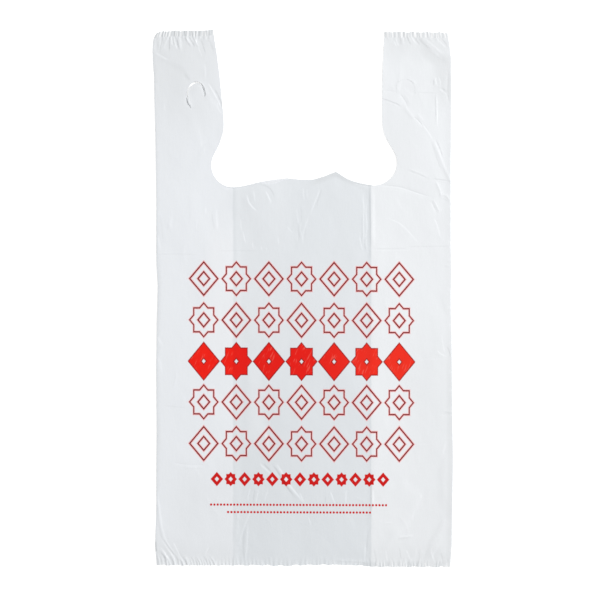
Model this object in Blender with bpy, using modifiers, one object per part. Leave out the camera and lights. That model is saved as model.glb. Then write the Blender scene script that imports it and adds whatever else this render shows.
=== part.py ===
"""A plastic carrier bag with two handles, lying flat on its back panel. Metres, +Z up.

The bag is one piece of film. A tube is folded in at both sides, which makes a V-shaped gusset on each
side, and is welded straight across at both ends. A die then cuts the mouth out of the top end through
all the layers, which leaves the two handles, and a slit in each handle to hang the bag by.
X runs across the bag, Y from the bottom weld to the handles, and Z up through the layers.
The origin is under the middle of the bag, on the surface that it lies on.
"""

import math

import bmesh
import bpy

# The folded bag
BAG_WIDTH = 0.292
BAG_LENGTH = 0.533
LYING_HEIGHT = 0.007  # the air in the bag keeps the front panel this high
GUSSET_DEPTH = 0.079  # from an outer fold in to the gusset's inner fold

# The film, and the air between a panel and the gusset leg that is folded in beside it
FILM_WALL = 0.0003
FOLD_GAP = 0.0006
PRESSED_GAP = 0.0001  # the same air where a weld presses the layers together

# The welds across both ends, each a little in from the film's cut edge
BOTTOM_SKIRT = 0.0015
BOTTOM_WELD = 0.004
TOP_SKIRT = 0.0015
TOP_WELD = 0.004
WELD_SLOPE = 0.034  # how far the panels take to rise from a weld to their full height

# The handles, each measured inwards from the bag's outer fold
HANDLE_TOP_WIDTH = 0.061
HANDLE_WAIST_WIDTH = 0.068  # the widest place, halfway down the mouth
HANDLE_NECK_WIDTH = 0.053  # the narrowest place, beside the mouth's round corner
WAIST_RISE = 0.0467  # from the middle of the mouth's round corner up to the waist

# The mouth's lower edge
MOUTH_DEPTH = 0.155  # from the top edge down to the lowest part of the mouth
CORNER_RADIUS = 0.0218
EDGE_RISE = 0.008  # the middle stands this much higher than the corners
EDGE_RUN = 0.047  # over this width, from each corner
PEAK_HEIGHT = 0.0075  # a nick of film that stands up beside the middle
PEAK_FROM_CORNER = 0.038  # to the right-hand corner's lowest point
PEAK_INNER_RUN = 0.030
PEAK_OUTER_RUN = 0.014

# The arched slit in each handle
SLIT_WIDTH = 0.0008
SLIT_RADIUS = 0.0085
SLIT_LEG = 0.013
SLIT_FROM_FOLD = 0.042
SLIT_DEPTH = 0.0525  # from the top edge to the top of the arch

# How finely the curves are divided
OUTER_FOLD_STEPS = 6
INNER_FOLD_STEPS = 8
SLOPE_STEPS = 7
CORNER_STEPS = 14
WAIST_STEPS = 6
EDGE_STEPS = 30
SLIT_STEPS = 12

CUT_MARGIN = 0.005  # how far a cutter stands past what it cuts
WELD_THRESHOLD = 0.00001

LEFT = -BAG_WIDTH / 2
RIGHT = BAG_WIDTH / 2
BOTTOM = -BAG_LENGTH / 2
TOP = BAG_LENGTH / 2


def clear_scene():
    for scene_object in list(bpy.data.objects):
        bpy.data.objects.remove(scene_object, do_unlink=True)


def new_collection(name):
    collection = bpy.data.collections.new(name)
    bpy.context.scene.collection.children.link(collection)
    return collection


def film_material():
    """Thin milky polyethylene with a soft sheen."""
    material = bpy.data.materials.new("milky_film")
    material.use_nodes = True
    shader = material.node_tree.nodes["Principled BSDF"]
    shader.inputs["Base Color"].default_value = (0.82, 0.85, 0.87, 1.0)
    shader.inputs["Roughness"].default_value = 0.38
    shader.inputs["Metallic"].default_value = 0.0
    material.diffuse_color = (0.82, 0.85, 0.87, 1.0)
    return material


def blend(low, high, share):
    return low + (high - low) * share


def eased(share):
    """0 to 1, level at both ends."""
    share = min(1.0, max(0.0, share))
    return share * share * (3.0 - 2.0 * share)


def fold(edge_x, inward, low_z, high_z, steps):
    """A half circle from low_z to high_z, whose film just reaches edge_x. inward is 1 where it opens to +X."""
    radius = (high_z - low_z) / 2
    centre_x = edge_x + inward * (FILM_WALL / 2 + radius)
    centre_z = (low_z + high_z) / 2
    points = []
    for step in range(steps + 1):
        angle = math.pi * step / steps
        points.append((centre_x - inward * radius * math.sin(angle), centre_z - radius * math.cos(angle)))
    return points


def film_section(openness):
    """The middle of the film all round the tube, as (x, z). openness is 0 at a weld and 1 in the bag."""
    pitch = FILM_WALL + blend(PRESSED_GAP, FOLD_GAP, openness)
    back_z = FILM_WALL / 2
    front_z = blend(back_z + 3 * pitch, LYING_HEIGHT - FILM_WALL / 2, openness)
    lower_leg_z = back_z + pitch
    upper_leg_z = front_z - pitch

    right_side = fold(RIGHT, -1, back_z, lower_leg_z, OUTER_FOLD_STEPS)
    right_side += fold(RIGHT - GUSSET_DEPTH, 1, lower_leg_z, upper_leg_z, INNER_FOLD_STEPS)
    right_side += fold(RIGHT, -1, upper_leg_z, front_z, OUTER_FOLD_STEPS)
    left_side = [(-x, z) for x, z in reversed(right_side)]
    return right_side + left_side


def section_places():
    """Where the tube's sections stand along Y, with how open each one is."""
    places = [(BOTTOM, 0.0)]
    foot = BOTTOM + BOTTOM_SKIRT + BOTTOM_WELD
    head = TOP - TOP_SKIRT - TOP_WELD
    for step in range(SLOPE_STEPS + 1):
        share = step / SLOPE_STEPS
        places.append((foot + WELD_SLOPE * share, eased(share)))
    for step in range(SLOPE_STEPS, -1, -1):
        share = step / SLOPE_STEPS
        places.append((head - WELD_SLOPE * share, eased(share)))
    places.append((TOP, 0.0))
    return places


def folded_tube(collection, material):
    """The tube of film: a loft through its sections, thickened to the film's wall."""
    mesh = bmesh.new()
    rings = []
    for y, openness in section_places():
        rings.append([mesh.verts.new((x, y, z)) for x, z in film_section(openness)])
    for ring, next_ring in zip(rings, rings[1:]):
        for index in range(len(ring)):
            following = (index + 1) % len(ring)
            mesh.faces.new((ring[index], ring[following], next_ring[following], next_ring[index]))
    bmesh.ops.recalc_face_normals(mesh, faces=mesh.faces)

    data = bpy.data.meshes.new("bag")
    mesh.to_mesh(data)
    mesh.free()
    data.materials.append(material)
    data.shade_smooth()
    tube = bpy.data.objects.new("bag", data)
    collection.objects.link(tube)
    wall = tube.modifiers.new("film_wall", "SOLIDIFY")
    wall.thickness = FILM_WALL
    wall.offset = 0.0
    wall.use_even_offset = True
    return tube


def make_helper(helper):
    """A cutter or a joining solid isn't part of the bag itself."""
    helper.hide_render = True
    helper.display_type = "WIRE"
    return helper


def weld_bar(name, low_y, high_y, collection):
    """The solid that a weld makes of the film's layers. It ends inside the outermost ones."""
    stack = 4 * FILM_WALL + 3 * PRESSED_GAP
    inset = FILM_WALL / 2
    size = (BAG_WIDTH - 2 * inset, high_y - low_y, stack - 2 * inset)
    centre = (0.0, (low_y + high_y) / 2, stack / 2)
    mesh = bmesh.new()
    bmesh.ops.create_cube(mesh, size=1.0)
    bmesh.ops.scale(mesh, vec=size, verts=mesh.verts)
    data = bpy.data.meshes.new(name)
    mesh.to_mesh(data)
    mesh.free()
    bar = bpy.data.objects.new(name, data)
    bar.location = centre
    collection.objects.link(bar)
    return make_helper(bar)


def punch(name, outline, collection):
    """A cutter with this outline that passes through every layer of the bag."""
    curve = bpy.data.curves.new(name, "CURVE")
    curve.dimensions = "2D"
    curve.fill_mode = "BOTH"
    curve.extrude = LYING_HEIGHT / 2 + CUT_MARGIN
    spline = curve.splines.new("POLY")
    spline.points.add(len(outline) - 1)
    for point, (x, y) in zip(spline.points, outline):
        point.co = (x, y, 0.0, 1.0)
    spline.use_cyclic_u = True
    drawn = bpy.data.objects.new(name + "_outline", curve)
    collection.objects.link(drawn)
    drawn.location.z = LYING_HEIGHT / 2
    bpy.context.view_layer.update()

    graph = bpy.context.evaluated_depsgraph_get()
    data = bpy.data.meshes.new_from_object(drawn.evaluated_get(graph))
    mesh = bmesh.new()
    mesh.from_mesh(data)
    bmesh.ops.remove_doubles(mesh, verts=mesh.verts, dist=WELD_THRESHOLD)
    bmesh.ops.recalc_face_normals(mesh, faces=mesh.faces)
    mesh.to_mesh(data)
    mesh.free()
    cutter = bpy.data.objects.new(name, data)
    cutter.matrix_world = drawn.matrix_world
    collection.objects.link(cutter)
    bpy.data.objects.remove(drawn, do_unlink=True)
    return make_helper(cutter)


def handle_edge():
    """The left handle's inner edge from the top down to the mouth's corner, as arcs that run into each other."""
    waist_x = LEFT + HANDLE_WAIST_WIDTH
    corner_x = LEFT + HANDLE_NECK_WIDTH + CORNER_RADIUS
    corner_y = TOP - MOUTH_DEPTH + CORNER_RADIUS
    waist_y = corner_y + WAIST_RISE
    narrowing = HANDLE_WAIST_WIDTH - HANDLE_NECK_WIDTH
    turn = 2 * math.atan2(narrowing, WAIST_RISE)
    waist_radius = WAIST_RISE / math.sin(turn) - CORNER_RADIUS

    slant = (HANDLE_TOP_WIDTH - HANDLE_WAIST_WIDTH) / (TOP - waist_y)
    above_top = TOP + CUT_MARGIN
    points = [(waist_x + slant * (above_top - waist_y), above_top)]
    for step in range(WAIST_STEPS):
        angle = turn * step / WAIST_STEPS
        x = waist_x - waist_radius * (1 - math.cos(angle))
        points.append((x, waist_y - waist_radius * math.sin(angle)))
    for step in range(CORNER_STEPS + 1):
        angle = blend(math.pi - turn, 1.5 * math.pi, step / CORNER_STEPS)
        x = corner_x + CORNER_RADIUS * math.cos(angle)
        points.append((x, corner_y + CORNER_RADIUS * math.sin(angle)))
    return points


def lower_edge_height(x, left_end, right_end):
    """How far the mouth's lower edge stands above its corners at x."""
    from_corner = min(x - left_end, right_end - x)
    height = EDGE_RISE * eased(from_corner / EDGE_RUN)
    peak_x = right_end - PEAK_FROM_CORNER
    run = PEAK_INNER_RUN if x < peak_x else PEAK_OUTER_RUN
    nearness = max(0.0, 1.0 - abs(x - peak_x) / run)
    return height + PEAK_HEIGHT * nearness**1.5


def mouth_outline():
    """What the die cuts away between the handles."""
    left_edge = handle_edge()
    right_edge = [(-x, y) for x, y in reversed(left_edge)]
    left_end, low_y = left_edge[-1]
    right_end = right_edge[0][0]
    lower_edge = []
    for step in range(1, EDGE_STEPS):
        x = blend(left_end, right_end, step / EDGE_STEPS)
        lower_edge.append((x, low_y + lower_edge_height(x, left_end, right_end)))
    return left_edge + lower_edge + right_edge


def slit_outline(side):
    """An arch with two straight legs, as a band of the slit's width. side is -1 for the left handle."""
    centre_x = side * (BAG_WIDTH / 2 - SLIT_FROM_FOLD)
    centre_y = TOP - SLIT_DEPTH - SLIT_RADIUS
    outline = []
    for radius, direction in ((SLIT_RADIUS + SLIT_WIDTH / 2, 1), (SLIT_RADIUS - SLIT_WIDTH / 2, -1)):
        outline.append((centre_x + direction * radius, centre_y - SLIT_LEG))
        for step in range(SLIT_STEPS + 1):
            angle = math.pi * step / SLIT_STEPS
            outline.append((centre_x + direction * radius * math.cos(angle), centre_y + radius * math.sin(angle)))
        outline.append((centre_x - direction * radius, centre_y - SLIT_LEG))
    return outline


def add_boolean(target, operand, operation):
    boolean = target.modifiers.new(operand.name, "BOOLEAN")
    boolean.operation = operation
    boolean.solver = "EXACT"
    boolean.object = operand


def build():
    clear_scene()
    bag_parts = new_collection("carrier_bag")
    helpers = new_collection("cutters")

    bag = folded_tube(bag_parts, film_material())
    bottom_start = BOTTOM + BOTTOM_SKIRT
    bottom_weld = weld_bar("bottom_weld", bottom_start, bottom_start + BOTTOM_WELD, helpers)
    top_end = TOP - TOP_SKIRT
    top_weld = weld_bar("top_weld", top_end - TOP_WELD, top_end, helpers)
    add_boolean(bag, bottom_weld, "UNION")
    add_boolean(bag, top_weld, "UNION")
    add_boolean(bag, punch("mouth_punch", mouth_outline(), helpers), "DIFFERENCE")
    add_boolean(bag, punch("left_slit_punch", slit_outline(-1), helpers), "DIFFERENCE")
    add_boolean(bag, punch("right_slit_punch", slit_outline(1), helpers), "DIFFERENCE")


build()
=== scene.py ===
from functools import reduce
import math

import bpy
import numpy as np
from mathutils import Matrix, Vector, geometry


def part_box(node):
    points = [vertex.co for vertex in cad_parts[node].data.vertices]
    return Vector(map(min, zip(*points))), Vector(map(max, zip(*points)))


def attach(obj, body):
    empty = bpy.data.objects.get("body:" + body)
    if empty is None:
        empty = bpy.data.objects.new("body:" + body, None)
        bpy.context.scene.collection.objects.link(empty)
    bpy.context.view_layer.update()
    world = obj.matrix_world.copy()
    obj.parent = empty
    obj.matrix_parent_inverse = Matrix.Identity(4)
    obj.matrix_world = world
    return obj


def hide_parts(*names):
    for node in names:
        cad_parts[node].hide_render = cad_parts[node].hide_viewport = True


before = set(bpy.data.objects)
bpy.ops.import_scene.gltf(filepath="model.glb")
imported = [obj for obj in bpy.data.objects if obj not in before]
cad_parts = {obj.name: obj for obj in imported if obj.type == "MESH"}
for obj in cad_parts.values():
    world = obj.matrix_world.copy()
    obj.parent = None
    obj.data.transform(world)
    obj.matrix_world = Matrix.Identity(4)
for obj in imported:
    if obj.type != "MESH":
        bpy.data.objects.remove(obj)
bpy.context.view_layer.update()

# A plastic carrier bag of thin milky film, lying on its back panel.
# The film is one sheet. It is laid out flat as a strip that runs once round the tube, cut there, and then
# folded up: front panel, right gusset, back panel, left gusset. X runs across the bag, Y from the bottom
# weld to the handles, and Z up through the layers, in metres.

BAG_LOW, BAG_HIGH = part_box("bag")
WIDTH = BAG_HIGH[0] - BAG_LOW[0]
LENGTH = BAG_HIGH[1] - BAG_LOW[1]
LEFT = -WIDTH / 2
BOTTOM = -LENGTH / 2
TOP = LENGTH / 2

MM = 0.001
GUSSET = 79 * MM  # from an outer fold in to the gusset's inner fold
FOLD_X = WIDTH / 2 - GUSSET
FILM_WALL = 0.1 * MM
PRESSED_PITCH = 0.13 * MM  # from one layer to the next in a weld
SEED = 7

# What the photograph shows, in its own pixels: x to the right, y down
PIXEL = 0.994 * MM
PHOTO_MIDDLE = (303.0, 298.2)  # the bag's middle
FRAME_MIDDLE = 300.0

# The outer folds from top to bottom, as (y, x)
LEFT_SIDE = [
    (30, 156.6), (34, 154.2), (38, 153.4), (45, 152.8), (60, 153.0), (75, 154.2), (100, 154.6), (135, 155.7),
    (200, 156.5), (262, 156.6), (285, 158.0), (320, 157.2), (345, 156.9), (366, 156.4), (432, 157.0),
    (470, 156.6), (510, 156.5), (545, 155.3), (556, 156.2), (566, 156.8),
]
RIGHT_SIDE = [
    (30, 447.4), (34, 448.4), (38, 449.0), (45, 450.1), (57, 451.2), (70, 451.3), (100, 451.5), (145, 451.2),
    (160, 450.9), (240, 451.0), (270, 451.6), (300, 451.0), (335, 451.9), (400, 452.3), (460, 453.2),
    (520, 452.2), (542, 452.0), (553, 451.3), (566, 450.3),
]
# The two ends of the bag, as (x, y)
TOP_END = [(154, 33.6), (158, 32.4), (164, 31.4), (175, 30.9), (206, 30.7), (213, 29.8),
           (384, 32.2), (392, 31.8), (430, 32.2), (447, 32.7)]
BOTTOM_END = [(156, 564.9), (200, 565.2), (262, 565.1), (284, 565.8), (300, 564.9), (335, 564.6),
              (358, 565.3), (372, 566.6), (440, 566.7), (450, 566.3)]

# The mouth, as the die cut it: down the left handle, along the lower edge and up the right handle
LEFT_HANDLE = [
    (213.4, 30), (215.1, 43), (217.4, 58), (219.8, 77), (222.4, 104), (223.8, 121), (223.2, 132),
    (220.4, 141.5), (216.7, 150), (213.2, 156.5), (211.5, 163), (211.7, 169), (213.7, 175),
    (217.4, 180.0), (222.0, 184.0), (227.5, 186.4), (234, 187.2),
]
LOWER_LEFT = [(234, 187.2), (242, 186.2), (250, 184.5), (262, 181.5), (274, 179.6), (286, 178.2),
              (295, 179.0), (304, 179.7), (313, 179.4), (322, 177.0), (330, 174.0), (336, 171.6)]
LOWER_RIGHT = [(336, 171.6), (340.5, 174.6), (347, 178.6), (355, 181.7), (365, 184.1), (374, 185.4)]
RIGHT_HANDLE = [
    (374, 185.4), (380, 184.4), (385.6, 181.9), (390.8, 178.0), (394.8, 172.8), (396.9, 166.5), (397.0, 160),
    (395.2, 153.8), (391.8, 147.6), (388.2, 141.8), (384.8, 134.8), (382.8, 126.5), (382.2, 114), (382.3, 88),
    (382.9, 66), (383.8, 46), (384.4, 30),
]
# Where the front panel's edge has slipped down, so that the back panel looks out behind it
SLIPPED_EDGE = {"from": 257.0, "to": 296.0, "deepest": 270.0, "depth": 4.6}
PEAK = LOWER_LEFT[-1]
HANDLES_ONLY = 100 * MM  # how far below the top the mouth's outline runs along the handles only
END_CLEAR = 0.4 * MM  # how far the mouth's curve stops short of the bag's end

# The inner folds, as their layers show through the front panel
LEFT_INNER_FOLD = 233.0
RIGHT_INNER_FOLD = 371.2

# The slits to hang the bag by: the path of each, and then, in even steps along it and in millimetres, how
# far the film stands up on both sides of it, how far that reaches to each side, and how wide the slit is in
# the front panel and in the layers below, which have slipped by the shift
SLITS = {
    "left": {
        "path": [(191.2, 108), (188.8, 104), (187.3, 98.5), (187.6, 92.5), (189.6, 87.2), (192.8, 83.7),
                 (196.8, 82.4), (200.6, 83.9), (203.2, 87.6), (204.5, 92.3), (205, 97.4)],
        "outside": [0.0, -0.25, -0.3, 0.0, 0.0, 0.0, 0.1, 0.3, 0.3, 0.2, 0.0],
        "inside": [0.0, 0.95, 0.8, 0.0, -0.1, 0.0, 0.0, -0.1, -0.5, -0.5, 0.0],
        "reach": (2.0, 1.0),
        "width": [0.9, 2.3, 2.2, 1.0, 1.1, 1.3, 1.3, 1.1, 1.7, 2.0, 0.9],
        "width_below": [0.1, 0.1, 0.15, 0.9, 1.1, 1.3, 1.3, 0.9, 0.1, 0.1, 0.1],
        "shift": 0.0,
    },
    "right": {
        "path": [(397.6, 95), (396.6, 89.5), (397.4, 84), (400.4, 80.6), (405, 79.2), (409.8, 80.5),
                 (413.2, 83.6), (414.6, 88.5), (414.4, 94)],
        "outside": [0.0, 0.05, 0.1, 0.1, 0.02, 0.14, 0.04, 0.0, 0.0],
        "inside": [0.0, 0.0, 0.1, 0.15, 0.0, -0.1, 0.0, 0.0, 0.0],
        "reach": (1.2, 0.9),
        "width": [0.04, 0.04, 0.05, 0.06, 0.03, 0.12, 0.04, 0.03, 0.06],
        "width_below": [0.2, 0.2],
        "shift": 1.0,
    },
}
SLIT_AREA = 26 * MM  # how far from its middle a slit moves the film
SLIPS = {"front": 0.0, "upper": 1.0, "lower": -1.0, "back": 1.6}  # how much of the shift each layer has


def seen_x(column):
    """A column of the photograph, as the place across the bag."""
    return (column - PHOTO_MIDDLE[0]) * PIXEL


def seen_at(points):
    """Points of the photograph, as places on the bag."""
    points = np.array(points, float)
    y = (PHOTO_MIDDLE[1] - points[:, 1]) * PIXEL
    return np.column_stack((seen_x(points[:, 0]), y))


def eased(share):
    """0 to 1, level at both ends."""
    share = np.clip(share, 0.0, 1.0)
    return share * share * (3.0 - 2.0 * share)


def curve_through(points, step):
    """A smooth curve through the points, in steps of about this length."""
    points = np.asarray(points, float)
    before = np.vstack((2 * points[0] - points[1], points[:-1]))
    after = np.vstack((points[1:], 2 * points[-1] - points[-2]))
    slopes = (after - before) / 2
    pieces = []
    for index in range(len(points) - 1):
        start, end = points[index], points[index + 1]
        count = max(1, round(float(np.linalg.norm(end - start)) / step))
        t = (np.arange(count) / count)[:, None]
        pieces.append(
            start * (1 + 2 * t) * (1 - t) ** 2
            + slopes[index] * t * (1 - t) ** 2
            + end * t * t * (3 - 2 * t)
            + slopes[index + 1] * t * t * (t - 1)
        )
    pieces.append(points[-1:])
    return np.vstack(pieces)


def normals_of(path):
    """The unit normals to the left of a path."""
    steps = np.gradient(path, axis=0)
    normals = np.column_stack((-steps[:, 1], steps[:, 0]))
    return normals / np.linalg.norm(normals, axis=1)[:, None]


# The silhouette: how far each place of the flat pattern moves to where the photograph shows it
def side_shift(points, mean_x, y):
    """How far a side lies from its straight line, at each height along the bag."""
    places = seen_at([(x, row) for row, x in points])
    order = np.argsort(places[:, 1])
    return np.interp(y, places[order, 1], places[order, 0]) - mean_x


def end_shift(points, mean_y, x):
    """How far an end lies from its straight line, at each place across the bag."""
    places = seen_at(points)
    return np.interp(x, places[:, 0], places[:, 1]) - mean_y


CORNER = 15 * MM  # how far a corner's own rounding reaches along the bag
CORNER_REACH = 14 * MM  # and across it
END_REACH = 60 * MM  # how far the shape of the bag's end reaches along the bag


def settle(x, y):
    """Where the film's flat pattern lies on the floor."""
    share = (x - LEFT) / WIDTH
    calm = np.clip(y, BOTTOM + CORNER, TOP - CORNER)
    shift_x = 0.0
    for side, mean_x, part in ((LEFT_SIDE, LEFT, 1 - share), (RIGHT_SIDE, -LEFT, share)):
        broad = side_shift(side, mean_x, calm)
        corner = side_shift(side, mean_x, y) - broad
        shift_x = shift_x + part * broad + corner * np.exp(-np.abs(x - mean_x) / CORNER_REACH)
    near_top = eased((y - (TOP - END_REACH)) / END_REACH)
    near_bottom = eased(((BOTTOM + END_REACH) - y) / END_REACH)
    shift_y = near_top * end_shift(TOP_END, TOP, x) + near_bottom * end_shift(BOTTOM_END, BOTTOM, x)
    return x + shift_x, y + shift_y


def unsettle(places):
    """The place on the flat pattern of what the photograph shows at these places."""
    x, y = places[:, 0].copy(), places[:, 1].copy()
    for _ in range(3):
        moved_x, moved_y = settle(x, y)
        x += places[:, 0] - moved_x
        y += places[:, 1] - moved_y
    return np.column_stack((x, y))


def pattern_points(points):
    """Points of the photograph, as places on the flat pattern."""
    return unsettle(seen_at(points))


# The strip: the six panels side by side. Each has its start and its length along the strip, the place
# across the bag where it starts, and the direction in which it runs across the bag.
PANELS = {
    "front": (0.0, WIDTH, LEFT, 1.0),
    "right_upper": (WIDTH, GUSSET, -LEFT, -1.0),
    "right_lower": (WIDTH + GUSSET, GUSSET, FOLD_X, 1.0),
    "back": (WIDTH + 2 * GUSSET, WIDTH, -LEFT, -1.0),
    "left_lower": (2 * WIDTH + 2 * GUSSET, GUSSET, LEFT, 1.0),
    "left_upper": (2 * WIDTH + 3 * GUSSET, GUSSET, -FOLD_X, -1.0),
}
STRIP_LENGTH = 2 * WIDTH + 4 * GUSSET
STARTS = [start for start, _, _, _ in PANELS.values()]
FOLDS = STARTS[1:]
RIGHT_INNER = PANELS["right_lower"][0]
LEFT_INNER = PANELS["left_upper"][0]
SAME_PLACE = 1e-6  # points nearer to each other than this are one point


def on_strip(panel, x):
    """How far along the strip this panel has the place x across the bag."""
    start, _, origin, direction = PANELS[panel]
    return start + (x - origin) * direction


def across_bag(panel, s):
    """The other way: x across the bag."""
    start, _, origin, direction = PANELS[panel]
    return origin + (s - start) * direction


def on_panel(panel, points):
    """Places of the bag, as places of this panel on the strip."""
    return np.column_stack((on_strip(panel, points[:, 0]), points[:, 1]))


def level_row(s, y):
    """Points at these places along the strip, all at one height along the bag."""
    return np.column_stack((s, np.full(len(s), y)))


def upright_row(s, heights):
    """Points at these heights along the bag, all at one place along the strip."""
    return np.column_stack((np.full(len(heights), s), heights))


def mouth_curves(step):
    """The mouth's outline on the flat pattern, from the left handle's top to the right handle's."""
    parts = [curve_through(pattern_points(part), step)
             for part in (LEFT_HANDLE, LOWER_LEFT, LOWER_RIGHT, RIGHT_HANDLE)]
    outline = np.vstack([part[:-1] for part in parts[:-1]] + parts[-1:])
    outline = outline[outline[:, 1] < TOP - END_CLEAR]
    first, last = outline[0].copy(), outline[-1].copy()
    first[1] = TOP
    last[1] = TOP
    return np.vstack((first, outline, last))


def slipped(outline):
    """The front panel's own edge, which hangs a little lower than the back panel's beside the middle."""
    low, deep, high = (seen_x(SLIPPED_EDGE[key]) for key in ("from", "deepest", "to"))
    x = outline[:, 0]
    depth = np.where(x < deep, eased((x - low) / (deep - low)), eased((high - x) / (high - deep)))
    lower = outline[:, 1] < TOP - HANDLES_ONLY
    result = outline.copy()
    result[:, 1] -= depth * lower * SLIPPED_EDGE["depth"] * PIXEL
    return result


# How much room points of each sort keep around them, in millimetres: against points that are added later,
# and against the open lattices that fill the rest
ROOMS = {
    "outline": (0.5, 1.4),
    "fold": (0.3, 1.4),
    "beside_fold": (0.3, 0.8),
    "slit": (0.3, 0.8),
    "beside_slit": (0.4, 1.2),
    "weld": (0.3, 0.9),
    "crease": (0.5, 1.7),
    "lattice": (1.0, 1.0),
}


class Layout:
    """The points of the triangulation, each with a clear distance to the ones that came before."""

    CELL = 0.4 * MM
    BORDER = 3  # cells around the strip

    def __init__(self):
        self.points = []
        self.edges = []
        shape = [int(length / self.CELL) + 2 * self.BORDER + 2 for length in (STRIP_LENGTH, LENGTH)]
        self.taken = np.zeros(shape, bool)
        self.crowded = np.zeros(shape, bool)

    def cells(self, points):
        """The cell of the grids in which each point lies."""
        return ((points - (0.0, BOTTOM)) / self.CELL).astype(int) + self.BORDER

    def mark(self, points, sort):
        """Keep the room of this sort around the points clear."""
        cells = self.cells(points)
        for grid, room in zip((self.taken, self.crowded), ROOMS[sort]):
            reach = int(room * MM / self.CELL)
            for dx in range(-reach, reach + 1):
                for dy in range(-reach, reach + 1):
                    if dx * dx + dy * dy <= reach * reach:
                        ix = np.clip(cells[:, 0] + dx, 0, grid.shape[0] - 1)
                        iy = np.clip(cells[:, 1] + dy, 0, grid.shape[1] - 1)
                        grid[ix, iy] = True

    def add_line(self, points, sort, closed=False):
        """Points that are joined in this order."""
        first = len(self.points)
        self.points.extend(map(tuple, points))
        count = len(points)
        self.edges.extend((first + i, first + i + 1) for i in range(count - 1))
        if closed:
            self.edges.append((first + count - 1, first))
        self.mark(points, sort)

    def add_loose(self, points, sort):
        """Points that go only where there is room."""
        inside = ((points[:, 0] > self.CELL) & (points[:, 0] < STRIP_LENGTH - self.CELL)
                  & (points[:, 1] > BOTTOM + self.CELL) & (points[:, 1] < TOP - self.CELL))
        points = points[inside]
        cells = self.cells(points)
        grid = self.crowded if sort == "lattice" else self.taken
        free = ~grid[cells[:, 0], cells[:, 1]]
        points, cells = points[free], cells[free]
        _, first = np.unique(cells[:, 0] * grid.shape[1] + cells[:, 1], return_index=True)
        points = points[np.sort(first)]
        self.points.extend(map(tuple, points))
        self.mark(points, sort)


def gusset_notch(outline, side):
    """The part of the mouth that reaches into a gusset, from the handle's top to the inner fold."""
    fold_x = side * FOLD_X
    points = outline if side < 0 else outline[::-1]
    inside = points[:, 0] <= fold_x if side < 0 else points[:, 0] >= fold_x
    last = int(np.argmin(inside)) - 1
    here, there = points[last], points[last + 1]
    share = (fold_x - here[0]) / (there[0] - here[0])
    return np.vstack((points[: last + 1], here + (there - here) * share))


WELD_ROWS = np.array((0.0, 0.7, 1.5, 2.6, 4.0, 5.6, 7.5, 9.5, 12.0, 15.0, 18.5, 22.5, 27.0, 32.0)) * MM
END_STEP = 0.82 * MM  # from point to point along a weld
END_MARGIN = 0.25 * MM  # how near a corner of the outline no other point of a weld's row comes
FINE_WELD = 9 * MM  # how far from the end the welds have all their points
IN_MOUTH = 74 * MM  # the top weld's points lie further out than this
FOLD_STEP = 2.5 * MM  # from point to point along a fold
FOLD_REACH = 0.35 * MM  # how far from a fold the film bends
RIM = 0.9 * MM  # a further row of points in the front panel, this far from its sides
NOTCH_CLEAR = 0.6 * MM  # how near the end of a gusset's notch no other point of its fold comes
FRONT_MOUTH_STEP = 1.5 * MM  # from point to point along the mouth
BACK_MOUTH_STEP = 1.8 * MM
SLIT_STEP = 1.2 * MM  # from point to point along a slit
BESIDE_SLIT = (0.9 * MM, 1.5 * MM, 2.3 * MM, 3.4 * MM)  # how far beside a slit there are more rows


def weld_places():
    """The places along the strip of the points in a weld, at the same x in every layer."""
    gusset = np.linspace(LEFT, -FOLD_X, round(GUSSET / END_STEP) + 1)
    middle = np.linspace(-FOLD_X, FOLD_X, round(2 * FOLD_X / END_STEP) + 1)
    across = np.concatenate((gusset[:-1], middle, -gusset[-2::-1]))
    parts = []
    for name in PANELS:
        here = across
        if name.startswith("left"):
            here = gusset
        elif name.startswith("right"):
            here = -gusset
        parts.append(np.sort(on_strip(name, here)))
    places = np.concatenate(parts)
    return places[np.concatenate(((True,), np.diff(places) > SAME_PLACE))]


def column_heights():
    """The heights of the points along a fold, closer together near the welds."""
    low, high = BOTTOM + WELD_ROWS, TOP - WELD_ROWS[::-1]
    middle = np.linspace(low[-1], high[0], round((high[0] - low[-1]) / FOLD_STEP) + 1)
    return np.concatenate((low[:-1], middle, high[1:]))


def along_end(start, end, y):
    """Points along an end of the strip, from start up to but not including end."""
    places = weld_places()
    between = places[(places > min(start, end) + END_MARGIN) & (places < max(start, end) - END_MARGIN)]
    s = np.append(start, between if end > start else between[::-1])
    return level_row(s, y)


def strip_outline(front_mouth, back_mouth):
    """The strip's outline, with the four cuts of the mouth in it, and those cuts by themselves."""
    left_notch = gusset_notch(back_mouth, -1)
    right_notch = gusset_notch(back_mouth, 1)
    cuts = [
        np.vstack((on_panel("left_upper", left_notch)[:-1], on_panel("left_lower", left_notch)[::-1])),
        on_panel("back", back_mouth),
        np.vstack((on_panel("right_lower", right_notch)[:-1], on_panel("right_upper", right_notch)[::-1])),
        on_panel("front", front_mouth)[::-1],
    ]
    heights = column_heights()
    outline = [along_end(0.0, STRIP_LENGTH, BOTTOM)]
    outline.append(upright_row(STRIP_LENGTH, heights[:-1]))
    at = STRIP_LENGTH
    for cut in cuts:
        outline.append(along_end(at, cut[0, 0], TOP))
        outline.append(cut[:-1])
        at = cut[-1, 0]
    outline.append(along_end(at, 0.0, TOP))
    outline.append(upright_row(0.0, heights[:0:-1]))
    return np.vstack(outline), cuts


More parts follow.
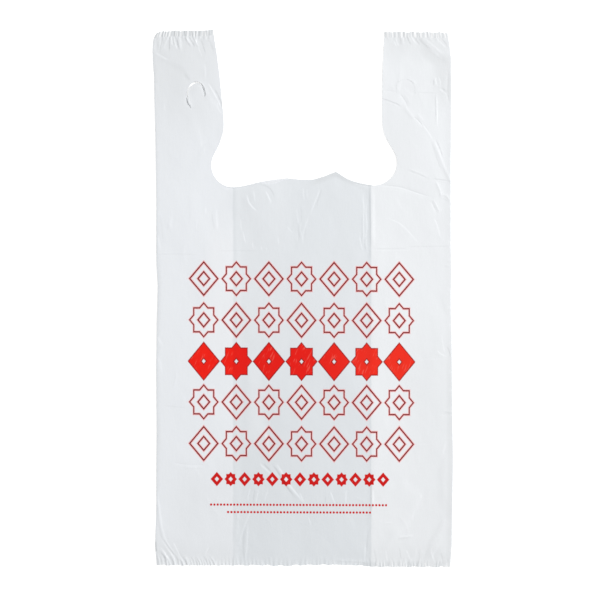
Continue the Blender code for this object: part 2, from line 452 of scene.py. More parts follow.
# The creases. Each has a kind, a width and a height in millimetres, and its path in the photograph.
# A lit crease is a narrow step that faces the light, and a shade crease is one that faces away from it.
LIGHT_FROM = np.array((0.93, 0.37))
CREASES = {
    # left handle
    "pleat_a": ("lit", 0.5, 0.30, [(168.6, 35.5), (166.2, 42), (164, 49.5)]),
    "pleat_b": ("shade", 0.45, 0.34, [(169.8, 35.5), (169.6, 43), (169.4, 52)]),
    "pleat_c": ("lit", 0.5, 0.36, [(174, 35.5), (175.2, 43), (177.4, 50)]),
    "pleat_d": ("shade", 0.5, 0.32, [(176.6, 36.5), (178, 44.5), (180, 50.5)]),
    "pleat_e": ("lit", 0.8, 0.26, [(181, 37), (181, 44), (181.2, 52)]),
    "pleat_f": ("shade", 0.45, 0.26, [(184, 36.5), (187.4, 42), (191.4, 48)]),
    "pleat_g": ("shade", 0.45, 0.26, [(188, 35.5), (191.6, 41.2), (195.2, 47.4)]),
    "pleat_h": ("lit", 0.5, 0.18, [(194.6, 36.5), (198, 46), (202.4, 58)]),
    "pleat_i": ("shade", 0.5, 0.22, [(200.4, 37), (203, 45), (206, 55)]),
    "pleat_j": ("shade", 0.6, 0.16, [(207.4, 36.5), (211, 44), (214.4, 52.5)]),
    "pleat_k": ("shade", 0.8, 0.16, [(159.6, 35), (158.2, 42), (157.8, 53)]),
    "pleat_l": ("lit", 0.9, 0.24, [(156.8, 36), (155.2, 43), (155, 53)]),
    "pleat_m": ("shade", 0.5, 0.22, [(163, 35), (161.2, 44), (159.8, 55)]),
    "pleat_n": ("lit", 0.5, 0.26, [(161.6, 36), (160.6, 41), (160.2, 47)]),
    "pleat_o": ("lit", 0.45, 0.26, [(171.6, 36), (171.8, 41), (172.4, 46)]),
    "pleat_p": ("shade", 0.45, 0.24, [(172.8, 36), (173.4, 41), (174.6, 46)]),
    "pleat_q": ("lit", 0.45, 0.22, [(186, 36.5), (189.4, 41.4), (193, 46)]),
    "pleat_r": ("lit", 0.45, 0.22, [(190.6, 36.5), (193.4, 40.4), (196.4, 45)]),
    "left_fan_rim": ("lit", 0.62, 0.24, [(155.3, 52.7), (162, 56.7), (169, 60.5)]),
    "left_fan_shade": ("shade", 2.8, 0.26, [(159, 60), (173, 65.3), (182, 70), (188.8, 78)]),
    "left_above_slit": ("shade", 1.3, 0.36, [(184.6, 73.5), (187.6, 77.4), (190.6, 80.6)]),
    "slit_arch_shade": ("groove", 0.7, 0.16,
                        [(191.6, 88), (194.4, 85.4), (197.6, 84.6), (200.4, 85.6), (202, 88)]),
    "slit_rim": ("lit", 0.5, 0.26, [(188.5, 96), (188.7, 91.6), (190.6, 87.2), (193.6, 84.4)]),
    "left_short_upright": ("lit", 0.56, 0.16, [(205.2, 64), (205.4, 72), (205.3, 80)]),
    "left_long_fold": ("lit", 0.5, 0.28, [(207, 82), (211.4, 88.4), (215.6, 96), (219.2, 103), (222, 111)]),
    "left_fold_shade": ("shade", 0.5, 0.26, [(214.4, 88.4), (218, 95), (221, 102.4), (222.8, 110)]),
    "left_fold_light": ("lit", 1.8, 0.18, [(204.4, 85), (208.4, 93), (212.6, 101), (216.4, 109)]),
    "left_fold_end": ("lit", 0.5, 0.16, [(217.6, 101), (217.4, 106), (219.4, 111), (222.6, 114)]),
    "left_top_corner": ("shade", 0.6, 0.10, [(158.6, 36), (157.5, 42), (158.4, 49)]),
    "left_low_diagonal": ("lit", 2.4, 0.10, [(197, 122), (200.5, 134), (203.5, 147)]),
    "left_low_nick": ("lit", 0.5, 0.09, [(200.6, 142), (202.6, 148)]),
    "left_inner_slope": ("shade", 3.0, 0.08, [(186, 118), (191, 126), (196, 137)]),
    "left_edge_upright": ("shade", 0.87, 0.09, [(158.3, 84), (157.8, 100), (158.4, 122), (158, 150)]),
    "left_edge_nick": ("lit", 0.56, 0.09, [(164, 103), (165.6, 113)]),
    # right handle
    "right_band": ("shade", 6.0, 0.70, [(413, 36), (424, 43.4), (434, 52), (442, 59), (450, 68)]),
    "right_pleat_a": ("shade", 0.5, 0.30, [(400.4, 36.5), (400.6, 40.6), (401, 45.4)]),
    "right_pleat_b": ("lit", 0.5, 0.24, [(403.2, 36.5), (403.6, 40.6), (404.2, 45)]),
    "right_pleat_c": ("shade", 0.5, 0.34, [(406.8, 36), (408.8, 40.6), (411, 45.2)]),
    "right_pleat_d": ("lit", 0.5, 0.30, [(411.4, 36), (413.8, 40.4), (417.2, 44.6)]),
    "right_pleat_e": ("shade", 0.5, 0.26, [(414.4, 36.4), (416.8, 41), (420.2, 45.4)]),
    "right_pleat_f": ("shade", 0.7, 0.20, [(418.6, 38), (423.4, 43.6), (429.6, 49)]),
    "right_pleat_g": ("lit", 0.5, 0.22, [(395.6, 36.5), (396.8, 41.6), (398.8, 47)]),
    "right_band_light": ("lit", 0.9, 0.24, [(424.4, 38), (431, 44), (437.6, 49.4), (444, 55)]),
    "right_band_edge": ("lit", 0.9, 0.18, [(424.6, 42), (431, 47.6), (437.4, 54.4), (443.6, 60.6)]),
    "right_corner_fan_a": ("lit", 0.56, 0.18, [(436, 37), (440, 42), (447, 49)]),
    "right_corner_fan_b": ("shade", 0.5, 0.19, [(441, 37), (444.5, 42), (448, 46.5)]),
    "right_bright_spot": ("lit", 0.6, 0.22, [(393.5, 40.5), (395.5, 44), (397, 48)]),
    "right_top_left_rim": ("lit", 0.5, 0.12, [(384, 54.3), (388, 53.4), (393, 52)]),
    "right_top_nick": ("lit", 0.56, 0.1, [(407, 56.6), (411, 56)]),
    "right_short_level": ("shade", 0.45, 0.24, [(414.6, 92.4), (426, 92.7), (438.6, 93)]),
    "right_spot": ("shade", 0.5, 0.17, [(414.2, 91.6), (416, 93.8)]),
    "right_upright": ("lit", 0.5, 0.22, [(436.6, 92), (437, 106), (437.2, 117), (437.8, 129)]),
    "right_upright_shade": ("shade", 0.5, 0.22, [(435.2, 93), (435.6, 107), (436, 123)]),
    "right_crumple_a": ("lit", 0.7, 0.26, [(435.6, 77), (436, 82), (437.6, 87)]),
    "right_crumple_b": ("shade", 0.5, 0.26, [(433.8, 79), (433.4, 86)]),
    "right_crumple_c": ("lit", 0.5, 0.20, [(438.6, 76.5), (440.2, 82), (440, 87.4)]),
    "right_crumple_d": ("lit", 0.6, 0.22, [(439.6, 88.7), (443.5, 92), (447.6, 94.4)]),
    "right_crumple_e": ("shade", 0.45, 0.22, [(441.3, 87.4), (444.6, 90), (448, 91.6)]),
    "right_edge_shade": ("groove", 0.8, 0.20, [(448, 70), (447.6, 82), (447, 92), (448.4, 100), (450, 107)]),
    "right_inner_level_a": ("groove", 0.5, 0.12, [(382.6, 91.8), (388, 91), (399, 93)]),
    "right_inner_level_b": ("shade", 0.5, 0.34,
                            [(379, 97.8), (387, 100), (393, 102.4), (398, 104.4), (402, 108)]),
    "right_inner_level_c": ("ridge", 0.7, 0.06, [(383, 101.6), (391, 103.6), (399, 107.4)]),
    "right_pair_a": ("groove", 0.6, 0.15, [(398.6, 93), (402.8, 98), (406, 103.4), (407.6, 108.4)]),
    "right_pair_b": ("ridge", 0.7, 0.07, [(404.2, 94), (408, 99.4), (410.6, 105)]),
    "right_slit_light": ("lit", 0.6, 0.17, [(400.2, 92), (399.8, 87.4), (401.4, 83), (404.4, 80.6)]),
    "right_slit_spot": ("ridge", 0.9, 0.14, [(412.4, 80.4), (414.2, 82.4), (415.4, 84.8)]),
    "right_long_a": ("ridge", 1.3, 0.22, [(404, 105.6), (408.6, 112.6), (414.6, 119.6)]),
    "right_long_b": ("groove", 0.5, 0.18, [(413, 116.6), (418, 120.6), (423.4, 127.6)]),
    "right_long_line": ("lit", 0.5, 0.14, [(420, 121.6), (425.6, 128.6), (430.6, 136), (433.6, 143)]),
    "right_long_c": ("ridge", 1.3, 0.24,
                     [(432.4, 138.6), (437, 150), (441.6, 162), (445.4, 171), (449.8, 179.6), (457, 193)]),
    "right_long_under": ("shade", 0.5, 0.15, [(430.6, 139), (434, 150), (438.6, 163), (443.4, 174)]),
    "right_long_beside": ("groove", 0.5, 0.16, [(434.8, 139), (439.4, 149), (443.4, 160.6)]),
    "right_long_beside_light": ("ridge", 0.6, 0.12, [(436.2, 139), (440.6, 149), (444.4, 160)]),
    "right_waist_nick": ("lit", 0.6, 0.10, [(417.4, 112.6), (421, 117), (423.6, 121)]),
    "right_level_line": ("shade", 0.5, 0.34, [(432.6, 178.6), (442, 179.8), (452.6, 181.6)]),
    "right_level_shade": ("shade", 0.6, 0.10, [(437, 181.6), (443, 182.4), (449, 182.8)]),
    "right_below_a": ("ridge", 0.9, 0.24, [(435.2, 181), (438.4, 187), (440.4, 193), (440.8, 199)]),
    "right_below_b": ("ridge", 0.9, 0.24, [(439.6, 196.4), (444, 194.8), (447.6, 197.4), (450, 202)]),
    "right_below_c": ("shade", 0.5, 0.12, [(440, 199), (445, 199.6), (449.6, 203)]),
    "right_below_d": ("ridge", 0.8, 0.18, [(432.6, 199), (436.4, 206), (440, 213.4)]),
    "right_below_e": ("groove", 0.5, 0.14, [(431, 201), (434, 208), (437, 214)]),
    "right_neck": ("ridge", 0.7, 0.12, [(407.4, 168.6), (414, 171), (421, 173.8), (429.6, 178.4)]),
    "right_neck_shade": ("groove", 0.6, 0.10, [(407, 171), (414, 173.4), (421, 176), (430, 180)]),
    "right_corner_crease": ("groove", 0.6, 0.17,
                            [(372, 185), (384, 185.6), (394, 186.4), (404, 188.4), (414, 191.8), (424, 195.2),
                             (436, 198)]),
    "right_corner_light": ("lit", 0.5, 0.12, [(394, 190.3), (399, 190.8)]),
    # the middle, under the mouth
    "middle_diagonal": ("lit", 0.5, 0.24, [(320.4, 188), (317, 197), (313.4, 206), (310, 214.5)]),
    "middle_diagonal_shade": ("shade", 0.45, 0.16, [(322, 189), (318.6, 199), (315.4, 207)]),
    "middle_diagonal_low": ("lit", 0.5, 0.17, [(309.6, 215), (306, 224), (303.4, 234), (302.4, 243)]),
    "middle_streak_a": ("lit", 0.45, 0.17, [(303.2, 187.6), (303.6, 194), (304.2, 201)]),
    "middle_streak_b": ("lit", 0.45, 0.13, [(306.8, 188.8), (307, 193), (307, 198.5)]),
    "middle_streak_c": ("shade", 0.5, 0.10, [(300.6, 205), (301.6, 215), (301, 224)]),
    "middle_crinkle_a": ("lit", 0.45, 0.12, [(301.2, 222), (300.4, 230), (302.4, 237), (303.4, 246)]),
    "middle_crinkle_b": ("shade", 0.45, 0.10, [(299.2, 224), (298.4, 231), (299.6, 239)]),
    "middle_crinkle_c": ("lit", 0.45, 0.11, [(296.4, 230), (297.6, 236), (297, 243)]),
    "middle_crinkle_d": ("shade", 0.45, 0.08, [(304.6, 226), (305.4, 232), (304.8, 238)]),
    "middle_peak": ("shade", 1.6, 0.24,
                    [(320, 180.4), (328, 177.4), (336, 175.4), (342, 178.4), (349, 182.6)]),
    "mouth_edge_a": ("groove", 0.6, 0.22,
                     [(222, 186.4), (228, 188.2), (236, 188.4), (244, 187), (252, 185.6), (259, 183.8)]),
    "mouth_edge_b": ("groove", 0.6, 0.16, [(352, 182.6), (361, 185), (370, 186.2), (378, 186.4)]),
    "middle_streak_d": ("lit", 0.45, 0.14, [(296.6, 208), (297.6, 217), (298.8, 225)]),
    "middle_streak_e": ("lit", 0.5, 0.13, [(286.4, 226), (290, 230), (293.6, 233.6)]),
    "middle_streak_f": ("lit", 0.45, 0.13, [(278, 236.5), (278.6, 245)]),
    "middle_bit_a": ("lit", 0.56, 0.14, [(261.2, 246), (261.8, 251)]),
    "middle_bit_b": ("lit", 0.56, 0.14, [(266.6, 246.3), (267, 251.3)]),
    "hook_long": ("lit", 0.56, 0.29, [(247.2, 194), (248.2, 200.4), (251.4, 206), (257.6, 211.6)]),
    "hook_short": ("lit", 0.5, 0.16, [(253.4, 190.4), (254.4, 196), (254.8, 202)]),
    "hook_right": ("lit", 0.68, 0.26, [(265.2, 190.6), (268.6, 196.6), (271.6, 204.4)]),
    "hook_arc": ("shade", 0.62, 0.19, [(258, 184.4), (266, 186), (271.6, 190.4), (275, 198)]),
    "fold_streak_a": ("lit", 0.5, 0.20,
                      [(364.2, 189.5), (363, 199), (364, 208), (363.2, 222), (363.8, 236), (362.8, 247)]),
    "fold_streak_b": ("shade", 0.45, 0.17, [(361.8, 214), (362.2, 228), (361.4, 247)]),
    "fold_streak_c": ("shade", 0.5, 0.14, [(369.3, 187), (369.9, 205), (370.3, 225), (370.8, 256)]),
    "fold_streak_d": ("lit", 0.45, 0.17, [(367, 200), (366, 212), (367, 226), (366, 238), (367.4, 252)]),
    "fold_band": ("lit", 1.1, 0.22, [(373.4, 187), (373.8, 205), (374, 228), (374.2, 252)]),
    "fold_squiggle_a": ("lit", 0.45, 0.19, [(359.6, 236), (360.8, 243), (362.6, 251)]),
    "fold_squiggle_b": ("shade", 0.45, 0.17, [(366.4, 236), (364.6, 243), (366, 252)]),
    "left_fold_streak_a": ("lit", 0.5, 0.16, [(240.6, 217.6), (241, 224), (241.4, 232)]),
    "left_fold_streak_b": ("lit", 0.5, 0.17, [(243, 231), (244.2, 237), (245.6, 244)]),
    "left_fold_streak_c": ("lit", 0.5, 0.14, [(252.6, 241.5), (253, 248.6)]),
    "left_level": ("shade", 0.45, 0.20, [(216, 250.9), (236, 250.6), (262, 250.8)]),
    # the left side above the print
    "side_streak_a": ("lit", 0.62, 0.13, [(206, 207), (205.6, 215)]),
    "side_streak_b": ("shade", 0.62, 0.12, [(211.6, 212), (213, 221), (214.8, 231)]),
    "side_streak_c": ("lit", 0.81, 0.16, [(216.4, 207), (217, 219), (217.6, 232)]),
    "side_streak_d": ("lit", 0.56, 0.09, [(197.4, 219), (196.4, 229)]),
    "side_streak_e": ("lit", 0.87, 0.13, [(172.6, 216), (170.4, 229)]),
    "side_streak_f": ("shade", 0.81, 0.1, [(168.4, 222), (167.8, 232)]),
    "side_streak_g": ("shade", 0.87, 0.12, [(160, 213), (161.6, 227), (163.6, 243)]),
    "left_level_shade": ("shade", 0.5, 0.22, [(150, 254.6), (175, 254), (200, 254.6)]),
    "left_edge_light_a": ("lit", 0.62, 0.14, [(158, 236), (159.4, 244), (161, 250)]),
    "left_edge_light_b": ("lit", 0.68, 0.16, [(156.6, 336.4), (160.4, 341), (163.6, 345.6)]),
    "left_edge_light_c": ("lit", 0.74, 0.12, [(159, 358), (161, 364), (161.6, 373)]),
    # the right side above and beside the print
    "right_fine_diagonal": ("lit", 0.45, 0.11,
                            [(385, 218), (393, 220.4), (401, 224.4), (409, 232.2), (417, 241), (421, 245.4)]),
    "right_fine_upright": ("lit", 0.56, 0.16, [(433.6, 217), (437.6, 227), (440.6, 239)]),
    "right_level_a": ("shade", 0.5, 0.30, [(370, 248.6), (388, 248.6), (400, 248.4), (413, 248)]),
    "right_level_b": ("shade", 0.5, 0.24, [(400, 246.8), (424, 246.4), (456, 246.2)]),
    "right_level_c": ("ridge", 0.56, 0.05, [(372, 251.6), (390, 251.4), (412, 251.2)]),
    "right_level_d": ("lit", 0.62, 0.14, [(416, 359.6), (430, 359.2), (448, 359.4)]),
    "right_side_a": ("lit", 0.5, 0.12, [(441.6, 336), (443, 345), (444.6, 353)]),
    "right_side_b": ("shade", 0.5, 0.19, [(447, 346), (449, 351), (450.4, 357)]),
    "right_side_c": ("lit", 0.5, 0.16, [(436.6, 350), (441, 354), (446.6, 356.4)]),
    "right_side_d": ("shade", 1.6, 0.16, [(441.6, 290), (443.4, 306), (448, 316)]),
    "right_side_e": ("ridge", 0.5, 0.1, [(444, 265.4), (449.6, 265.6)]),
    # below the print
    "low_left_level_a": ("shade", 0.5, 0.15, [(163, 405.2), (175, 406.6), (189, 407.8)]),
    "low_left_level_b": ("ridge", 0.62, 0.12, [(183, 467.4), (194, 467.5), (206, 467.3)]),
    "low_left_level_c": ("groove", 0.62, 0.11, [(171, 462), (186, 464.6), (208, 464.8)]),
    "low_left_edge": ("lit", 0.7, 0.22, [(157.8, 492), (160.6, 517), (164.6, 536), (171.6, 549), (182, 562)]),
    "low_left_edge_shade": ("shade", 0.9, 0.22, [(157.2, 500), (158.6, 520), (162, 538), (168.4, 551)]),
    "low_left_fold_b": ("lit", 0.5, 0.24, [(160.4, 536), (166.2, 546.6), (173.4, 556), (179, 563.4)]),
    "low_left_fold_d": ("lit", 0.5, 0.22, [(173, 541), (178.6, 553), (183.4, 561)]),
    "low_left_fold_e": ("lit", 0.5, 0.22, [(210, 545.6), (206.6, 551), (204.6, 557)]),
    "low_left_fold_b_shade": ("shade", 0.5, 0.20, [(163, 537.4), (169, 547), (176, 557)]),
    "low_left_fold_c": ("lit", 0.56, 0.26, [(160.6, 547), (164.6, 552.6), (170, 559.4)]),
    "low_left_fold_c_shade": ("shade", 0.56, 0.12, [(159, 549), (162.8, 555), (166.8, 561)]),
    "doubled_fold_a": ("lit", 0.7, 0.22,
                       [(252, 506), (248.6, 516), (244.6, 526), (241.4, 536), (239.6, 550)]),
    "doubled_fold_b": ("shade", 0.8, 0.22,
                       [(248.6, 526), (244.6, 532), (243.4, 542), (243.8, 552), (245, 568)]),
    "doubled_fold_c": ("shade", 0.8, 0.10, [(237, 510), (236.6, 521), (235.6, 533)]),
    "doubled_fold_d": ("lit", 0.6, 0.22, [(248, 522), (247.6, 534), (247, 546), (245.9, 556), (245.4, 568)]),
    "low_middle_a": ("lit", 0.62, 0.26, [(259.4, 463), (264.6, 468), (271.6, 474.4)]),
    "low_middle_a_shade": ("shade", 0.56, 0.22, [(263, 463), (268.6, 468.6), (274, 475)]),
    "low_middle_b": ("lit", 0.68, 0.37,
                     [(275, 462), (281.6, 471.6), (289.4, 484.6), (299, 496.6), (305, 505)]),
    "low_middle_b_shade": ("shade", 0.62, 0.32, [(271.6, 463), (278.6, 473), (286.4, 486), (296, 498)]),
    "low_middle_c": ("lit", 0.5, 0.19, [(250.4, 487), (248.8, 494), (247.6, 502)]),
    "low_middle_d": ("shade", 0.45, 0.17, [(255.4, 488), (254, 495), (252.8, 503)]),
    "low_middle_e": ("lit", 0.5, 0.2, [(259, 489), (257, 497), (255.8, 504)]),
    "low_middle_f": ("lit", 0.62, 0.17, [(268.6, 489), (266.4, 495), (264.2, 502)]),
    "low_middle_g": ("lit", 0.56, 0.24, [(330.4, 491), (332.8, 498), (335.8, 505)]),
    "low_middle_h": ("lit", 0.56, 0.24, [(346.6, 490), (345.8, 497), (346.2, 504)]),
    "low_middle_i": ("lit", 0.56, 0.23, [(299.6, 492), (302, 498), (305.2, 504.6)]),
    "low_middle_j": ("lit", 0.5, 0.17, [(308, 516), (309.8, 521), (310.8, 527)]),
    "low_middle_k": ("shade", 0.5, 0.16, [(325.6, 495), (325, 504)]),
    "low_middle_l": ("lit", 0.9, 0.26, [(264.6, 423), (266.4, 436), (269, 448), (273, 461)]),
    "low_fold_upright": ("lit", 0.6, 0.28, [(373.2, 489), (373.2, 505)]),
    "low_fold_line": ("shade", 0.6, 0.26, [(371, 474), (371.2, 494), (371.2, 516)]),
    "low_fold_shade": ("shade", 0.62, 0.22, [(368.4, 528), (367.6, 540), (366.4, 553)]),
    "low_fold_light": ("lit", 0.56, 0.22, [(365.4, 543), (365, 553), (364.2, 562)]),
    "low_end_light": ("ridge", 0.7, 0.22, [(332, 560.4), (346, 560.8), (360, 561.6), (374, 563)]),
    "low_right_pleat_a": ("shade", 0.6, 0.16, [(374, 548), (375.4, 556), (376, 564)]),
    "low_right_pleat_b": ("lit", 0.5, 0.16, [(386, 549), (386.6, 556), (388, 564)]),
    "low_right_pleat_c": ("shade", 0.5, 0.18, [(399.6, 547), (400.4, 555), (402, 564)]),
    "low_right_pleat_d": ("lit", 0.5, 0.20, [(406, 549), (409, 556), (411.4, 564)]),
    "low_right_pleat_e": ("lit", 0.5, 0.18, [(416.6, 547.4), (416, 555), (414.4, 564)]),
    "low_right_pleat_f": ("shade", 0.5, 0.18, [(420, 549), (419, 557), (418.4, 564)]),
    "low_right_pleat_g": ("lit", 0.5, 0.16, [(431, 548), (432.4, 556), (435.6, 564)]),
    "low_right_pleat_h": ("shade", 0.5, 0.16, [(441, 551), (442, 557), (443.6, 564)]),
    "low_right_soft_a": ("lit", 4.6, 0.5, [(424, 486), (416, 508), (405, 527), (386, 548)]),
    "low_right_soft_d": ("shade", 3.6, 0.30, [(386, 493), (396, 489), (404, 478)]),
    "low_right_soft_e": ("shade", 1.8, 0.34, [(379, 548), (388, 540), (397, 533)]),
    "low_right_bit_a": ("lit", 0.6, 0.16, [(420.8, 493), (421, 499)]),
    "low_right_bit_b": ("lit", 0.6, 0.16, [(412.6, 514), (413.2, 521)]),
    "low_right_bit_c": ("ridge", 0.5, 0.10, [(384, 523.4), (392, 523)]),
    "low_right_crest": ("lit", 0.7, 0.26, [(431.6, 559), (434.4, 552), (440, 545)]),
    "low_right_crest_shade": ("shade", 1.4, 0.44, [(424, 556), (431, 547), (441, 540)]),
    "low_right_soft_b": ("shade", 3.2, 0.85, [(444, 516), (438, 528), (430.6, 540), (422.6, 552)]),
    "low_right_soft_c": ("shade", 5.0, 0.4, [(447, 452), (441.6, 466), (441, 490), (445, 520)]),
    "low_right_spot": ("ridge", 0.9, 0.36, [(397.4, 539.2), (401, 537.4), (406, 537), (414, 535.6)]),
    "low_right_level": ("lit", 0.62, 0.12, [(416, 444.8), (422, 444.4), (428.6, 444.6)]),
    "low_right_edge_a": ("lit", 0.87, 0.19, [(446, 440), (444.4, 448), (442, 456)]),
    "low_right_edge_b": ("ridge", 0.56, 0.16, [(443.6, 411.2), (448, 411.4), (452, 412)]),
    "low_right_edge_c": ("groove", 0.56, 0.14, [(441, 414.6), (447, 414.4), (452, 414.2)]),
}


def nearest_on(path, x, y):
    """The distance to a path (above 0 on its left), the share along it, and how its left faces the light."""
    steps = np.diff(path, axis=0)
    lengths = np.linalg.norm(steps, axis=1)
    along = np.concatenate(((0.0,), np.cumsum(lengths)))
    dx = x[:, None] - path[None, :-1, 0]
    dy = y[:, None] - path[None, :-1, 1]
    share = np.clip((dx * steps[:, 0] + dy * steps[:, 1]) / lengths**2, 0.0, 1.0)
    off_x = dx - share * steps[:, 0]
    off_y = dy - share * steps[:, 1]
    best = np.argmin(off_x**2 + off_y**2, axis=1)
    rows = np.arange(len(x))
    ox, oy = off_x[rows, best], off_y[rows, best]
    unit = steps[best] / lengths[best][:, None]
    side = np.sign(unit[:, 0] * oy - unit[:, 1] * ox)
    distance = side * np.hypot(ox, oy)
    place = (along[best] + share[rows, best] * lengths[best]) / along[-1]
    facing = -unit[:, 1] * LIGHT_FROM[0] + unit[:, 0] * LIGHT_FROM[1]
    return distance, place, facing


CREASE_STEP = 2.0 * MM  # from point to point along a crease
CREASE_AREA = 4.0  # how many recoveries away from its path a crease still moves the film
RECOVERY = 5.5  # how many of its own widths the film takes to come level again beside a step
STEEPNESS = 0.6  # how many of its widths a step takes to rise
TURNING = 1.6  # how fast a step comes to its full height as it turns to or from the light
ROUNDNESS = 1.5  # how round the top of a ridge is
FADE_IN = 0.22  # the share of its path over which a crease comes up
FADE_OUT = 0.28  # and over which it goes down again
SLIGHT = 0.04 * MM  # a crease lower than this has no points of its own
ACROSS_CREASE = (0.0, 0.8, -0.8, 2.2, -2.2)  # where a crease has rows of points, in its widths
LEAST_SPACING = 0.5 * MM  # the least and the most that a crease's width counts for that
MOST_SPACING = 2.2 * MM


def near_path(path, margin, x, y):
    """Which places lie within a margin of the path's box."""
    low = path.min(axis=0) - margin
    high = path.max(axis=0) + margin
    return (x > low[0]) & (x < high[0]) & (y > low[1]) & (y < high[1])


def crease_height(kind, width, height, path, x, y):
    """How far this crease lifts the film at each place."""
    recovery = RECOVERY * width
    close = near_path(path, CREASE_AREA * recovery, x, y)
    lift = np.zeros(len(x))
    if not close.any():
        return lift
    distance, place, facing = nearest_on(path, x[close], y[close])
    fade = eased(place / FADE_IN) * eased((1.0 - place) / FADE_OUT)
    if kind in ("lit", "shade"):
        sign = -1.0 if kind == "lit" else 1.0
        side = np.clip(TURNING * facing, -1.0, 1.0)
        step = np.tanh(distance / (STEEPNESS * width))
        profile = sign * side * 0.5 * step * np.exp(-np.abs(distance) / recovery)
    else:
        sign = 1.0 if kind == "ridge" else -1.0
        profile = sign * np.exp(-((np.abs(distance) / width) ** ROUNDNESS))
    lift[close] = height * fade * profile
    return lift


def crease_rows(creases):
    """Rows of points along the creases, closer together across them than along them."""
    rows = []
    for _, width, height, path in creases:
        if height >= SLIGHT:
            spacing = min(max(width, LEAST_SPACING), MOST_SPACING)
            rows.extend(path + normals_of(path) * (share * spacing) for share in ACROSS_CREASE)
    return np.vstack(rows)


def named_creases():
    """The creases of the table, on the flat pattern and in metres."""
    return [(kind, width * MM, height * MM, curve_through(pattern_points(points), CREASE_STEP))
            for kind, width, height, points in CREASES.values()]


SCATTERED = {
    "count": 110,
    "from_side": 6 * MM,
    "from_end": 25 * MM,
    "turn": 26.0,  # in degrees away from the bag's length, as the spread
    "bend": 0.25,
    "length": (8.0, 34.0),  # in millimetres, as the width and the height
    "width": (0.8, 1.5),
    "height": (0.03, 0.09),
    "kinds": ("lit", "shade", "lit", "ridge"),
    "step": 2.5 * MM,
}


def scattered_creases(rng):
    """Slight creases all over the panel, most of them along the bag."""
    creases = []
    side = -LEFT - SCATTERED["from_side"]
    low, high = BOTTOM + SCATTERED["from_end"], TOP - SCATTERED["from_end"]
    for _ in range(SCATTERED["count"]):
        x, y = rng.uniform(-side, side), rng.uniform(low, high)
        angle = math.radians(90 + rng.normal(0.0, SCATTERED["turn"]))
        bend = rng.normal(0.0, SCATTERED["bend"])
        length = rng.uniform(*SCATTERED["length"]) * MM
        points = [(x, y)]
        for _ in range(3):
            x += math.cos(angle) * length / 3
            y += math.sin(angle) * length / 3
            angle += bend
            points.append((x, y))
        kind = SCATTERED["kinds"][int(rng.integers(4))]
        width, height = rng.uniform(*SCATTERED["width"]) * MM, rng.uniform(*SCATTERED["height"]) * MM
        creases.append((kind, width, height, curve_through(points, SCATTERED["step"])))
    return creases


# The gathers that shrinking draws into the film beside a weld, as ridges that run in from the bag's end.
# Each row gives where they lie across the bag, how far apart they are, and how wide, long, high and slanted.
GATHERS = {
    "top_left_ribs": {"from": 157, "to": 214.5, "pitch": 2.5, "half": 0.22, "length": (5, 7), "height": 0.32,
                      "lean": (-0.05, 0.05)},
    "top_left_pleats": {"from": 160, "to": 214, "pitch": 3.6, "half": 0.20, "length": (11, 24),
                        "height": 0.46, "lean": (-0.3, 0.5)},
    "top_right_ribs": {"from": 385, "to": 447, "pitch": 2.5, "half": 0.22, "length": (5, 7), "height": 0.26,
                       "lean": (-0.1, 0.1)},
    "top_right_pleats": {"from": 386, "to": 446, "pitch": 4.4, "half": 0.20, "length": (8, 16),
                         "height": 0.34, "lean": (-0.15, 0.6)},
    "low_left_pleats": {"from": 158, "to": 190, "pitch": 3.6, "half": 0.22, "length": (10, 22),
                        "height": 0.50, "lean": (-0.9, -0.3)},
    "low_left_fine": {"from": 187, "to": 216, "pitch": 2.7, "half": 0.21, "length": (8, 15), "height": 0.44,
                      "lean": (-0.9, -0.5)},
    "low_left_last": {"from": 214, "to": 236, "pitch": 3.4, "half": 0.22, "length": (6, 12), "height": 0.40,
                      "lean": (-0.3, 0.3)},
    "low_middle_pleats": {"from": 236, "to": 366, "pitch": 4.1, "half": 0.24, "length": (5, 13),
                          "height": 0.31, "lean": (-0.3, 0.3)},
    "low_right_pleats": {"from": 366, "to": 450, "pitch": 2.6, "half": 0.22, "length": (6, 14),
                         "height": 0.36, "lean": (-0.3, 0.5)},
    "low_teeth": {"from": 157, "to": 450, "pitch": 2.7, "half": 0.25, "length": (2, 4.5), "height": 0.22,
                  "lean": (-0.2, 0.2)},
}


GATHER_STEP = 1.2 * MM  # from point to point along a gather
GATHER_AREA = 5.0  # how many of its half widths away from its path a gather still moves the film
GATHER_SPREAD = 0.7  # how much wider it is at its far end
GATHER_ROUNDNESS = 1.7


def weld_gathers(rng):
    """Each gather as (its path from the end inwards, its half width, its height)."""
    gathers = []
    for name, row in GATHERS.items():
        inwards, y = (-1.0, TOP) if name.startswith("top") else (1.0, BOTTOM)
        at = row["from"] + 0.4 * row["pitch"]
        while at < row["to"] - 0.3 * row["pitch"]:
            x = seen_x(at)
            lean = rng.uniform(*row["lean"])
            length = rng.uniform(*row["length"]) * PIXEL
            points = [(x, y - inwards * MM)]
            for share in (0.33, 0.66, 1.0):
                points.append((x + lean * length * share**1.6, y + inwards * length * share))
            height = row["height"] * rng.uniform(0.65, 1.3) * MM
            half = row["half"] * row["pitch"] * rng.uniform(0.85, 1.2) * PIXEL
            gathers.append((curve_through(points, GATHER_STEP), half, height))
            at += row["pitch"] * rng.uniform(0.75, 1.25)
    return gathers


def gather_height(gathers, x, y):
    """How far all the gathers lift the film at each place."""
    lift = np.zeros(len(x))
    for path, half_width, height in gathers:
        close = near_path(path, GATHER_AREA * half_width, x, y)
        if close.any():
            distance, place, _ = nearest_on(path, x[close], y[close])
            spread = half_width * (1.0 + GATHER_SPREAD * place)
            profile = np.exp(-((np.abs(distance) / spread) ** GATHER_ROUNDNESS))
            lift[close] += height * (1.0 - eased(place)) * profile
    return lift


